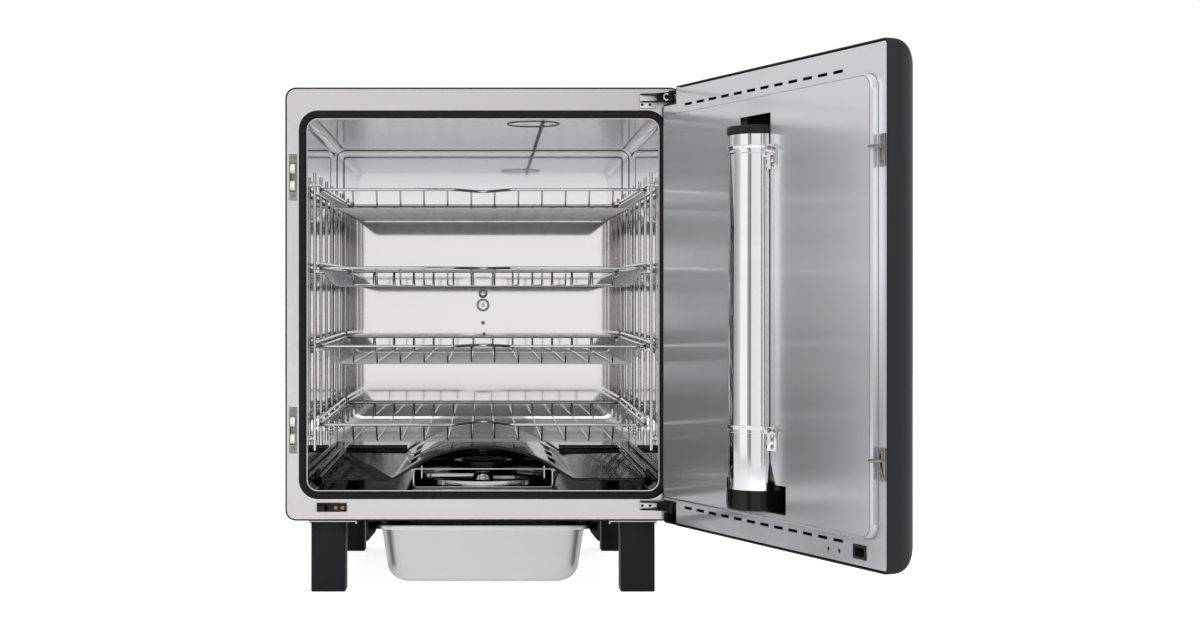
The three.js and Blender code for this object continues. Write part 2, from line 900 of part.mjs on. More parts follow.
function legRail(side) {
  const left = side * railCentre - railWidth / 2;
  const right = left + railWidth;
  const profile = outline([
    [left, underside],
    [left, underside - railLip],
    [left + railSheet, underside - railLip],
    [left + railSheet, underside - railSheet],
    [right - railSheet, underside - railSheet],
    [right - railSheet, underside - railLip],
    [right, underside - railLip],
    [right, underside],
  ]);
  return prismY(profile, [railFront, railFront + railLength]);
}

function panRunner(side) {
  const inner = panWidth / 2 + runnerSide + runnerWeb - runnerWidth;
  const outer = inner + runnerWidth;
  const web = outer - runnerWeb;
  const ledge = panRimTop - panLip - touchGap;
  const profile = outline(
    [
      [inner, ledge],
      [inner, ledge - runnerLedge],
      [outer - runnerLedge, underside - runnerHeight],
      [outer, underside - runnerHeight],
      [outer, underside],
      [outer - runnerBase, underside],
      [outer - runnerBase, underside - runnerLedge],
      [web, underside - runnerLedge],
      [web, ledge],
    ].map(([x, z]) => [side * x, z]),
  );
  return prismY(profile, [runnerFront, runnerFront + runnerLength]);
}

function dripChute() {
  const half = chuteSide / 2;
  const square = (reach, z) =>
    block([-reach, reach], [chuteY - reach, chuteY + reach], z);
  const floor = cavityFloor + touchGap;
  const duct = square(half, [cabinetBottom - chuteDrop, floor + chuteSheet]);
  const flange = square(half + chuteFlange, [floor, floor + chuteSheet]);
  const bore = square(half - chuteSheet, [
    cabinetBottom - chuteDrop - cutOverrun,
    floor + chuteSheet + cutOverrun,
  ]);
  return joined(duct, flange).subtract(bore);
}

// One rounded rectangle of the drip pan, as a ring of points.
function panRing(width, length, corner, z) {
  const middle = panFront + panLength / 2;
  const loop = loopPoints(roundedRectangle(width, length, corner, 0, middle), cornerSteps);
  return loop.map((p) => [p.x, p.y, z]);
}

// The pan's tub from its bottom to above its rim, drawn in by a wall thickness.
function panTub(wall, top) {
  const width = panWidth - 2 * panRimWidth - 2 * wall;
  const length = panLength - 2 * panRimWidth - 2 * wall;
  const bottom = panRimTop - panHeight + wall;
  const rings = [];
  const steps = 4;
  for (let i = 0; i <= steps; i++) {
    const angle = (Math.PI / 2) * (1 - i / steps);
    const draw = panDraft + panBottomRadius * (1 - Math.cos(angle));
    const z = bottom + panBottomRadius * (1 - Math.sin(angle));
    const corner = Math.max(panCorner - panBottomRadius * (1 - Math.cos(angle)), panBottomRadius / 2);
    rings.push(panRing(width - 2 * draw, length - 2 * draw, corner, z));
  }
  rings.push(panRing(width, length, panCorner, top));
  return skin(rings, false);
}

function dripPan() {
  const rim = skin(
    [
      panRing(panWidth, panLength, panRimCorner, panRimTop - panLip),
      panRing(panWidth, panLength, panRimCorner, panRimTop),
    ],
    false,
  );
  const underRim = skin(
    [
      panRing(
        panWidth - 2 * panSheet,
        panLength - 2 * panSheet,
        panRimCorner - panSheet,
        panRimTop - panLip - cutOverrun,
      ),
      panRing(panWidth - 2 * panSheet, panLength - 2 * panSheet, panRimCorner - panSheet, panRimTop - panSheet),
    ],
    false,
  );
  const tub = panTub(0, panRimTop);
  return rim.subtract(underRim).add(tub).subtract(panTub(panSheet, panRimTop + cutOverrun));
}

// Baskets and their supports

// How much higher the basket's rim and rails are at y than at the front.
function riseAt(y) {
  return (basketRise * (y - basketFront)) / (basketBack - basketFront);
}

// The front rim bows back round the feeder tube.
function frontRimAt(x) {
  const share = Math.min(Math.abs(x) / notchHalfWidth, 1);
  return basketFront + (notchDepth * (1 + Math.cos(Math.PI * share))) / 2;
}

function basket(rimZ) {
  const left = -basketHalfWidth + rimCorner;
  const rim = new THREE.Shape();
  rim.moveTo(left, basketFront);
  for (let i = 0; i <= notchSteps; i++) {
    const x = notchHalfWidth * ((2 * i) / notchSteps - 1);
    rim.lineTo(x, frontRimAt(x));
  }
  rim.absarc(-left, basketFront + rimCorner, rimCorner, -Math.PI / 2, 0);
  rim.absarc(-left, basketBack - rimCorner, rimCorner, 0, Math.PI / 2);
  rim.absarc(left, basketBack - rimCorner, rimCorner, Math.PI / 2, Math.PI);
  rim.absarc(left, basketFront + rimCorner, rimCorner, Math.PI, 1.5 * Math.PI);
  const section = [
    [rimWire, 0],
    [0, rimWire],
    [-rimWire, 0],
    [0, -rimWire],
  ];
  const rimBar = loopBar(loopPoints(rim, 1), section, (x, y, up) => [x, y, rimZ + riseAt(y) + up]);
  const wires = [rimBar];
  const bottom = rimZ - basketDepth;
  for (let i = 0; i < longWireCount; i++) {
    const x = (i - (longWireCount - 1) / 2) * longWirePitch;
    const front = frontRimAt(x);
    const path = [
      [x, front, rimZ + riseAt(front)],
      [x, front + basketEndSlope, bottom + riseAt(front)],
      [x, basketBack - basketEndSlope, bottom + basketRise],
      [x, basketBack, rimZ + basketRise],
    ];
    wires.push(bentBar(path, meshWire, wireSides));
  }
  const inner = basketHalfWidth - basketSideSlope;
  const first = basketFront + basketEndSlope + crossWireMargin / 2;
  const last = basketBack - basketEndSlope - crossWireMargin / 2;
  const under = bottom - 2 * meshWire - touchGap;
  for (let i = 0; i < crossWireCount; i++) {
    const y = first + ((last - first) * i) / (crossWireCount - 1);
    const rise = riseAt(y);
    const path = [
      [-basketHalfWidth, y, rimZ + rise],
      [-inner, y, under + rise],
      [inner, y, under + rise],
      [basketHalfWidth, y, rimZ + rise],
    ];
    wires.push(bentBar(path, meshWire, wireSides));
  }
  return joined(...wires);
}

function basketHeight(i) {
  return topBasketZ - i * basketPitch;
}

function rackSupport(side) {
  const half = supportWire / 2;
  const x = side * supportX;
  const bars = [];
  for (let i = 0; i < supportPosts; i++) {
    const y = supportFront + ((supportBack - supportFront) * i) / (supportPosts - 1);
    bars.push(block([x - half, x + half], [y - half, y + half], [supportBottom, supportTop]));
  }
  const railX = side * (supportX - supportBarInset);
  const lower = -rimWire - touchGap - half;
  const upper = rimWire + railAbove + half;
  for (let i = 0; i < basketCount; i++) {
    for (const offset of [lower, upper]) {
      const ends = [supportFront - 2 * half, supportBack + 2 * half];
      const profile = outline([
        [ends[0], basketHeight(i) + offset - half + riseAt(ends[0])],
        [ends[1], basketHeight(i) + offset - half + riseAt(ends[1])],
        [ends[1], basketHeight(i) + offset + half + riseAt(ends[1])],
        [ends[0], basketHeight(i) + offset + half + riseAt(ends[0])],
      ]);
      bars.push(prismX(profile, [railX - half, railX + half]));
    }
  }
  const wall = side * (cavityWidth / 2 - touchGap);
  const root = side * supportX;
  for (const y of [supportFront, supportBack]) {
    for (const z of [supportBottom + supportPegInset, supportTop - supportPegInset]) {
      const peg = [z - supportPeg / 2, z + supportPeg / 2];
      const across = [Math.min(wall, root), Math.max(wall, root)];
      bars.push(block(across, [y - half / 2, y + half / 2], peg));
    }
  }
  return joined(...bars);
}

// Cavity floor

// The deflector's crown line: flat sides, ramps and an arch, lowered by a drop.
function deflectorLine(drop) {
  const sag = deflectorTop - deflectorArchFoot;
  const radius = (deflectorArch ** 2 + sag ** 2) / (2 * sag);
  const half = Math.asin(deflectorArch / radius);
  const steps = 8;
  const points = [
    [-deflectorHalf, deflectorFlat - drop],
    [-deflectorShoulder, deflectorFlat - drop],
  ];
  for (let i = 0; i <= steps; i++) {
    const angle = half * ((2 * i) / steps - 1);
    points.push([
      radius * Math.sin(angle),
      deflectorTop - radius + radius * Math.cos(angle) - drop,
    ]);
  }
  points.push([deflectorShoulder, deflectorFlat - drop], [deflectorHalf, deflectorFlat - drop]);
  return points;
}

function deflector() {
  const floor = cavityFloor + touchGap;
  const sheetProfile = (thickness) => {
    const under = deflectorLine(thickness);
    const legTop = [deflectorHalf - thickness, deflectorFlat - thickness];
    return outline([
      ...deflectorLine(0),
      [deflectorHalf, floor],
      [deflectorHalf - thickness, floor],
      legTop,
      ...under.slice(1, -1).reverse(),
      [-legTop[0], legTop[1]],
      [-deflectorHalf + thickness, floor],
      [-deflectorHalf, floor],
    ]);
  };
  const sheet = prismY(sheetProfile(deflectorSheet), [deflectorFront, deflectorBack]);
  const hem = prismY(sheetProfile(deflectorHem), [deflectorFront, deflectorFront + deflectorHem]);
  const upturns = [-1, 1].map((side) => {
    const inner = side * deflectorShoulder;
    const outer = side * deflectorHalf;
    return block(
      [Math.min(inner, outer), Math.max(inner, outer)],
      [deflectorBack - deflectorSheet, deflectorBack],
      [deflectorFlat - deflectorSheet, deflectorFlat + deflectorUpturn],
    );
  });
  const slots = [];
  const rampMiddle = (deflectorShoulder + deflectorArch) / 2;
  const middle = (deflectorFront + deflectorBack) / 2;
  for (const side of [-1, 1]) {
    for (let i = 0; i < louvreSlots; i++) {
      const y = middle + (i - (louvreSlots - 1) / 2) * louvreSlotPitch;
      const x = side * rampMiddle;
      slots.push(
        block(
          [x - louvreSlotWidth / 2, x + louvreSlotWidth / 2],
          [y - louvreSlotLength / 2, y + louvreSlotLength / 2],
          [deflectorFlat + deflectorSheet, deflectorTop + cutOverrun],
        ),
      );
    }
  }
  return joined(sheet, hem, ...upturns).subtract(joined(...slots));
}

function heater(side) {
  const x = side * heaterX;
  const bend = heaterSpacing / 2;
  const rear = cavityDepth + heaterTail;
  const steps = 6;
  const path = [[x, rear, heaterLow]];
  for (let i = 0; i <= steps; i++) {
    const angle = (Math.PI * i) / steps;
    const y = heaterFront + bend - bend * Math.sin(angle);
    path.push([x, y, heaterLow + bend - bend * Math.cos(angle)]);
  }
  path.push([x, rear, heaterLow + heaterSpacing]);
  return bentBar(path, heaterRadius, 8);
}

function burnerPan() {
  const floor = cavityFloor + touchGap;
  const inside = floor + burnerSheet;
  const tub = turnedZ(
    [
      [0, floor],
      [burnerRadius, floor],
      [burnerRadius, floor + burnerWall],
      [burnerRadius - burnerSheet, floor + burnerWall],
      [burnerRadius - burnerSheet, inside],
      [0, inside],
    ],
    burnerX,
    burnerY,
    32,
  );
  const lowFront = block(
    [burnerX - burnerRadius - cutOverrun, burnerX + burnerRadius + cutOverrun],
    [burnerY - burnerRadius - cutOverrun, burnerY - burnerRadius + burnerOpen],
    [floor + burnerLip, floor + burnerWall + cutOverrun],
  );
  const spindle = discZ(
    spindleRadius,
    [inside - burnerSheet / 2, inside + hubHeight - burnerSheet],
    burnerX,
    hubY,
    smallSides,
  );
  return tub.subtract(lowFront).add(spindle);
}

function burnerPlate() {
  const foot = cavityFloor + 2 * touchGap + burnerSheet;
  const profile = [
    [0, foot],
    [plateStem, foot],
    [plateStem, plateUnder],
    [plateRadius, plateUnder],
    [plateRadius, plateTop],
  ];
  for (let i = 0; i < plateRings; i++) {
    const outer = plateRadius - plateRing * (3 + 4 * i);
    profile.push([outer, plateTop], [outer, plateTop + plateRing]);
    profile.push([outer - plateRing, plateTop + plateRing], [outer - plateRing, plateTop]);
  }
  profile.push([0, plateTop]);
  return turnedZ(profile, burnerX, plateY);
}

function burnerGuard() {
  const floor = cavityFloor + touchGap;
  const middle = floor + guardHeight / 2;
  const outer = roundedRectangle(guardWidth, guardHeight, guardCorner, 0, middle);
  const inner = roundedRectangle(
    guardWidth - 2 * guardBar,
    guardHeight - 2 * guardBar,
    guardCorner - guardBar,
    0,
    middle,
  );
  const depth = [guardY, guardY + guardDepth];
  const bore = prismY(inner, [guardY - cutOverrun, guardY + guardDepth + cutOverrun]);
  return prismY(outer, depth).subtract(bore);
}

function puckArm() {
  const foot = cavityFloor + 2 * touchGap + burnerSheet;
  const hub = turnedZ(
    [
      [hubBore, foot],
      [hubRadius, foot],
      [hubRadius, foot + hubHeight * 0.7],
      [hubRadius * 0.8, foot + hubHeight],
      [hubBore, foot + hubHeight],
    ],
    burnerX,
    hubY,
  );
  const armOutline = outline([
    [-hubRadius * 0.7, hubY - armWidth / 2],
    [-hubRadius * 0.7, hubY + armWidth / 2],
    [-armLength, hubY + armTip / 2],
    [-armLength, hubY - armTip / 2],
  ]);
  const bladeOutline = outline([
    [hubRadius * 0.7, hubY - armTip / 2],
    [bladeLength, hubY - guardBar / 2],
    [bladeLength, hubY + guardBar / 2],
    [hubRadius * 0.7, hubY + armTip / 2],
  ]);
  const reach = [foot + armLow, foot + armLow + armThick];
  const bladeReach = [foot + touchGap, foot + armLow + armThick / 2];
  return joined(hub, prismZ(armOutline, reach), prismZ(bladeOutline, bladeReach));
}

function temperatureProbe() {
  const wall = cavityDepth - touchGap;
  const boss = discY(bossRadius, [wall - bossDepth, wall], 0, probeZ);
  const dish = discY(
    bossRadius - bossRib,
    [wall - bossDepth - cutOverrun, wall - bossDepth / 2],
    0,
    probeZ,
  );
  const rod = discY(probeRadius, [wall - probeReach, wall], 0, probeZ, smallSides);
  const stem = discY(stemRadius, [wall - bossDepth / 2, wall + stemLength], 0, probeZ, smallSides);
  return boss.subtract(dish).add(rod).add(stem);
}

function ceilingSensor() {
  const z = cavityTop - sensorDrop;
  const ends = [sensorFront, cavityDepth - touchGap];
  const parts = [discY(sensorRadius, ends, sensorX, z, smallSides)];
  for (let i = 0; i < clipCount; i++) {
    const y = cavityDepth * ((i + 1) / (clipCount + 1)) + clipWidth * 2;
    parts.push(
      block(
        [sensorX - sensorRadius, sensorX + sensorRadius],
        [y - clipWidth / 2, y + clipWidth / 2],
        [z, cavityTop - touchGap],
      ),
    );
  }
  return joined(...parts);
}

// Catches, interlock and hinges on the cabinet

function rollerCatch(z) {
  const half = catchPlateWidth / 2;
  const window = half - 2 * catchWall;
  const tall = catchWindow / 2;
  const plate = block(
    [catchX - half, catchX + half],
    [-catchPlate - touchGap, -touchGap],
    [z - catchPlateHeight / 2, z + catchPlateHeight / 2],
  );
  const box = block(
    [catchX - window - catchWall, catchX + window + catchWall],
    [-catchFront, catchRear],
    [z - tall, z + tall],
  );
  const hollow = block(
    [catchX - window, catchX + window],
    [-catchFront - cutOverrun, catchRear - catchWall],
    [z - tall + catchWall, z + tall - catchWall],
  );
  const axles = [-rollerOffset, rollerOffset].map((offset) => {
    const reach = window + catchWall / 2;
    return discX(axleRadius, [catchX - reach, catchX + reach], rollerDepth, z + offset, 8);
  });
  return joined(plate, box).subtract(hollow).add(joined(...axles));
}

function roller(z) {
  const body = discX(rollerRadius, [catchX - rollerWidth / 2, catchX + rollerWidth / 2], rollerDepth, z, 16);
  const bore = discX(
    rollerBore,
    [catchX - rollerWidth / 2 - cutOverrun, catchX + rollerWidth / 2 + cutOverrun],
    rollerDepth,
    z,
    16,
  );
  return body.subtract(bore);
}

function latchBody() {
  const main = block([latchLeft, latchBlockRight], [-1, latchRear], [latchLow, latchHigh]);
  const front = block([latchFlangeLeft, latchRight], [-latchProud, -touchGap], [latchLow, latchHigh]);
  const middle = (latchLow + latchHigh) / 2;
  const play = hookThick / 2 + 2 * touchGap;
  const pocket = block(
    [latchLeft + latchPocketWall, latchPocketRight],
    [-cutOverrun, latchRear - latchPocketWall],
    [middle - play, middle + play],
  );
  const pin = discZ(hookPin, [latchLow + 1, latchHigh - 1], hookX, hookY, 8);
  return joined(main, front).subtract(pocket).add(pin);
}

function latchHook() {
  const middle = (latchLow + latchHigh) / 2;
  const span = [middle - hookThick / 2, middle + hookThick / 2];
  const shape = outline([
    [hookX + hookShank / 2, hookY],
    [hookX - hookShank / 2, hookY],
    [hookX - hookShank / 2, -hookReach + hookBarbLength],
    [hookX - hookShank / 2 - hookBarb, -hookReach + hookBarbLength],
    [hookX - hookShank / 2 - hookBarb, -hookReach + hookBarbLength / 2],
    [hookX - hookShank / 2, -hookReach],
    [hookX + hookShank / 2, -hookReach],
  ]);
  const boss = discZ(hookBoss, span, hookX, hookY, smallSides);
  const bore = discZ(hookBore, [span[0] - cutOverrun, span[1] + cutOverrun], hookX, hookY, smallSides);
  return prismZ(shape, span).add(boss).subtract(bore);
}

// A hinge arm: a channel of two leaves and a web, with an eye for the pin and a foot on the face.
function hingeArm(low, tab) {
  const high = low + hingeArmHeight;
  const foot = [-hingeFoot - touchGap, -touchGap];
  const start = new THREE.Vector2(hingeFootRight - hingeArmHalf, foot[0]);
  const pin = new THREE.Vector2(hingeX, hingeY);
  const along = pin.clone().sub(start).normalize();
  const across = new THREE.Vector2(-along.y, along.x).multiplyScalar(hingeArmHalf);
  const leafOutline = outline([
    [hingeFootLeft, foot[1]],
    [hingeFootLeft, foot[0]],
    [hingeFootLeft + hingeLeafRake, -hingeLeafDepth],
    [start.x, -hingeLeafDepth],
    [pin.x - across.x, pin.y - across.y],
    [pin.x + across.x, pin.y + across.y],
    [hingeFootRight, foot[1]],
  ]);
  const web = outline([
    [hingeFootRight - hingeLeaf, foot[1]],
    [hingeFootRight, foot[1]],
    [pin.x + across.x, pin.y + across.y],
    [pin.x + across.x * 0.7, pin.y + across.y * 0.7],
  ]);
  const leaves = [
    [low, low + hingeLeaf],
    [high - hingeLeaf, high],
  ].map((span) => joined(prismZ(leafOutline, span), discZ(hingeEye, span, pin.x, pin.y)));
  const plate = block([hingeFootLeft, hingeFootRight], foot, [low - tab, high]);
  const bore = discZ(hingeEyeBore, [low - cutOverrun, high + cutOverrun], pin.x, pin.y);
  return joined(...leaves, prismZ(web, [low, high]), plate).subtract(bore);
}

// Door, modelled closed

function doorRing(inset, y, wall) {
  const corner = doorCorner - wall + doorCornerGrowthShare * (inset - wall);
  const loop = loopPoints(
    roundedRectangle(cabinetWidth - 2 * inset, doorHeight - 2 * inset, corner, 0, doorMiddle),
    doorCornerSteps,
  );
  return loop.map((p) => [p.x, y, p.y]);
}

// The door's outer form, drawn in by a wall, from y = front to its filleted outer face.
function doorForm(wall, front) {
  const radius = doorFillet - wall;
  const flat = doorOutside + doorFillet;
  const rings = [doorRing(wall, front, wall)];
  for (let i = 0; i <= doorFilletSteps; i++) {
    const angle = (Math.PI / 2) * (i / doorFilletSteps);
    const inset = wall + radius * (1 - Math.cos(angle));
    rings.push(doorRing(inset, flat - radius * Math.sin(angle), wall));
  }
  return skin(rings, false);
}

// The notch in a corner of the door that a hinge pocket fills.
function pocketSpace(upper, margin, past) {
  const z = upper
    ? [doorTop - upperPocketHeight - pocketWall - margin, doorTop + past]
    : [doorBottom - past, doorBottom + lowerPocketHeight + pocketWall + margin];
  return block(
    [doorHalfWidth - pocketWidth - margin, doorHalfWidth + past],
    [doorInside - pocketDepth - margin, doorInside + past],
    z,
  );
}

function doorShell() {
  const shell = doorForm(0, doorInside).subtract(doorForm(doorSheet, doorInside + cutOverrun));
  return shell
    .subtract(pocketSpace(true, touchGap, cutOverrun))
    .subtract(pocketSpace(false, touchGap, cutOverrun));
}

function feederSlot() {
  return outline(
    [
      [-slotFootHalf, slotFootBottom],
      [slotFootHalf, slotFootBottom],
      [slotFootHalf, slotFootTop],
      [slotFlareHalf, slotFootTop],
      [slotHalf, slotFlareTop],
      [slotHalf, slotTop],
      [-slotHalf, slotTop],
      [-slotHalf, slotFlareTop],
      [-slotFlareHalf, slotFootTop],
      [-slotFootHalf, slotFootTop],
    ].map(([x, z]) => [feederX + x, z]),
  );
}

// The raised field of the inner panel, drawn in by a wall, from y = back to its face.
function embossForm(wall, back, face) {
  const height = embossTop - embossBottom;
  const ring = (inset, y) => {
    const shape = roundedRectangle(
      2 * (embossHalfWidth - inset),
      height - 2 * inset,
      embossCorner - inset,
      0,
      embossBottom + height / 2,
    );
    return loopPoints(shape, doorCornerSteps).map((p) => [p.x, y, p.y]);
  };
  const shoulder = ring(wall, face - embossShoulder);
  return skin([ring(wall, back), shoulder, ring(wall + embossShoulder, face)], false);
}

function doorInnerPanel() {
  const edge = doorSheet + touchGap;
  const plate = roundedRectangle(
    cabinetWidth - 2 * edge,
    doorHeight - 2 * panelMargin,
    doorCorner - edge,
    0,
    doorMiddle,
  );
  const back = doorInside - innerSheet;
  const sheet = prismY(plate, [back, doorInside]).add(embossForm(0, back, plateauFace));
  const hollow = embossForm(innerSheet, back - cutOverrun, plateauFace - innerSheet);
  const through = [back - cutOverrun, plateauFace + cutOverrun];
  const cuts = [hollow, prismY(feederSlot(), through)];
  for (let i = 0; i < ventSlotCount; i++) {
    const x = ventSlotFree + i * ventSlotPitch - doorHalfWidth;
    for (const z of [topVentZ, bottomVentZ]) {
      cuts.push(
        block(
          [x - ventSlotLength / 2, x + ventSlotLength / 2],
          through,
          [z - ventSlotHeight / 2, z + ventSlotHeight / 2],
        ),
      );
    }
  }
  for (const inset of flangeHoleInsets) {
    const z = doorBottom + flangeHoleRise;
    cuts.push(discY(flangeHoleRadius, through, inset - doorHalfWidth, z, smallSides));
  }
  const bowl = socketWidth / 2 - socketRim + touchGap;
  const bowlHeight = socketHeight / 2 - socketRim + touchGap;
  cuts.push(
    block([socketX - bowl, socketX + bowl], through, [socketZ - bowlHeight, socketZ + bowlHeight]),
    pocketSpace(true, touchGap, cutOverrun),
    pocketSpace(false, touchGap, cutOverrun),
  );
  return sheet.subtract(joined(...cuts));
}

// The black trough behind the slot, in which the feeder tube stands.
function troughForm(radius, foot, top, front, halfFoot, footTop, footDepth) {
  const tunnel = new THREE.Shape();
  tunnel.moveTo(feederX - radius, front);
  tunnel.lineTo(feederX - radius, tubeY);
  tunnel.absarc(feederX, tubeY, radius, Math.PI, 2 * Math.PI);
  tunnel.lineTo(feederX + radius, front);
  const across = [feederX - halfFoot, feederX + halfFoot];
  const well = block(across, [doorInside - footDepth, front], [foot, footTop]);
  return prismZ(tunnel, [foot, top], 4).add(well);
}

function feederTrough() {
  const back = doorInside - innerSheet - touchGap;
  const outside = troughForm(
    troughRadius + troughSheet,
    feederFoot - troughFoot,
    slotTop + troughFoot + troughSheet,
    cutOverrun,
    slotFootHalf + troughSheet,
    slotFootTop + troughSheet,
    troughWellDepth + troughSheet,
  );
  const ahead = block([-doorFillHalf, doorFillHalf], [back, 2 * cutOverrun], [0, cabinetHeight * 2]);
  const inside = troughForm(
    troughRadius,
    feederFoot,
    slotTop + troughFoot,
    cutOverrun,
    slotFootHalf,
    slotFootTop,
    troughWellDepth,
  );
  return outside.subtract(joined(inside, ahead));
}

function doorInsulation() {
  const margin = troughSheet + touchGap;
  const body = block(
    [-doorFillHalf, doorFillHalf],
    [doorOutside + doorSheet + doorFillInset, doorInside - innerSheet - doorFillInset],
    [embossBottom, embossTop],
  );
  const trough = troughForm(
    troughRadius + margin,
    feederFoot - troughFoot - touchGap,
    slotTop + troughFoot + margin,
    cutOverrun,
    slotFootHalf + margin,
    slotFootTop + margin,
    troughWellDepth + margin,
  );
  return body.subtract(trough);
}

function tubeRing(outer, inner, [z0, z1]) {
  return turnedZ(
    [
      [inner, z0],
      [outer, z0],
      [outer, z1],
      [inner, z1],
    ],
    feederX,
    tubeY,
  );
}

function feederTube() {
  const foot = feederFoot + 2 * touchGap + cupFloor;
  return tubeRing(tubeRadius, tubeRadius - tubeWall, [foot, tubeTop]);
}

function feederBase() {
  const foot = feederFoot + touchGap;
  const inner = cupRadius - cupWall;
  return turnedZ(
    [
      [0, foot],
      [cupRadius, foot],
      [cupRadius, cupTop],
      [inner, cupTop],
      [inner, foot + cupFloor],
      [0, foot + cupFloor],
    ],
    feederX,
    tubeY,
  );
}

function feederCap() {
  const under = tubeTop + touchGap;
  const top = under + capDisc;
  const inner = cupRadius - cupWall;
  return turnedZ(
    [
      [0, under],
      [inner, under],
      [inner, top - capHeight],
      [cupRadius, top - capHeight],
      [cupRadius, top - capDisc / 2],
      [cupRadius - capDisc / 2, top],
      [0, top],
    ],
    feederX,
    tubeY,
  );
}

function clampBand(z) {
  const inner = tubeRadius + touchGap;
  const span = [z - clampWidth / 2, z + clampWidth / 2];
  const band = tubeRing(inner + clampSheet, inner, span);
  const ear = plateauFace + touchGap;
  const reach = Math.sqrt((inner + clampSheet / 2) ** 2 - (ear + earSheet / 2 - tubeY) ** 2);
  const root = feederX - reach;
  const plate = block([root - earWidth, root], [ear, ear + earSheet], [z - earDrop, span[1]]);
  return band.add(plate);
}

function hingePocket(upper) {
  const height = upper ? upperPocketHeight : lowerPocketHeight;
  const end = upper ? doorTop : doorBottom;
  const away = upper ? 1 : -1;
  const sorted = (a, b) => [Math.min(a, b), Math.max(a, b)];
  const inner = end - away * height;
  const outer = inner - away * pocketWall;
  const span = sorted(outer, end - away * pocketInset);
  const left = doorHalfWidth - pocketWidth;
  const across = [left, doorHalfWidth - pocketInset];
  const back = doorInside - pocketDepth;
  const base = block(across, [back, doorInside], sorted(outer, inner));
  const rear = block(across, [back, back + pocketWall], span);
  const side = block([left, left + pocketWall], [back, doorInside], span);
  const armRise = upper ? upperArmRise : lowerArmRise;
  const armEnd = inner + away * (armRise + hingeArmHeight + touchGap);
  const headEnd = armEnd + away * hingePinHeadHeight;
  const pin = discZ(hingePinRadius, sorted(outer, headEnd), hingeX, hingeY, 16);
  const head = discZ(hingePinHead, sorted(armEnd, headEnd), hingeX, hingeY, 16);
  return joined(base, rear, side, pin, head);
}

function strike(z) {
  const face = doorInside + touchGap;
  const half = strikeWidth / 2;
  const plate = block(
    [catchX - strikeShift - half, catchX - strikeShift + half],
    [face, face + strikeSheet],
    [z - strikeDrop - strikeHeight / 2, z - strikeDrop + strikeHeight / 2],
  );
  const tip = face + strikeSheet + tongueReach;
  const tongue = outline([
    [face, z - tongueThick / 2],
    [tip - tongueTaper, z - tongueThick / 2],
    [tip, z - tongueThick / 6],
    [tip, z + tongueThick / 6],
    [tip - tongueTaper, z + tongueThick / 2],
    [face, z + tongueThick / 2],
  ]);
  return plate.add(prismX(tongue, [catchX - tongueWidth / 2, catchX + tongueWidth / 2]));
}

function latchSocket() {
  const face = doorInside + touchGap;
  const rim = block(
    [socketX - socketWidth / 2, socketX + socketWidth / 2],
    [face, face + socketFlange],
    [socketZ - socketHeight / 2, socketZ + socketHeight / 2],
  );
  const half = socketWidth / 2 - socketRim;
  const halfHeight = socketHeight / 2 - socketRim;
  const cup = block(
    [socketX - half, socketX + half],
    [doorInside - socketDepth, face + socketFlange / 2],
    [socketZ - halfHeight, socketZ + halfHeight],
  );
  const hollow = block(
    [socketX - half + socketWall, socketX + half - socketWall],
    [doorInside - socketDepth + socketWall, face + cutOverrun],
    [socketZ - halfHeight + socketWall, socketZ + halfHeight - socketWall],
  );
  return joined(rim, cup).subtract(hollow);
}

function doorHandle() {
  const face = doorOutside - touchGap;
  const out = face - handleProud;
  const low = handleMiddle - handleLength / 2;
  const high = handleMiddle + handleLength / 2;
  const path = [[handleX, face, low]];
  const steps = 3;
  for (let i = 0; i <= steps; i++) {
    const angle = (Math.PI / 2) * (i / steps);
    path.push([
      handleX,
      out + handleBend * (1 - Math.sin(angle)),
      low + handleBend * (1 - Math.cos(angle)),
    ]);
  }
  const upper = path.map(([x, y, z]) => [x, y, high - (z - low)]).reverse();
  return bentBar([...path, ...upper], handleRadius, 10);
}

function controlPanel() {
  const face = doorOutside - touchGap;
  return prismY(
    roundedRectangle(glassWidth, glassHeight, glassCorner, 0, glassZ),
    [face - glassSheet, face],
  );
}

const smoker = new THREE.Group();

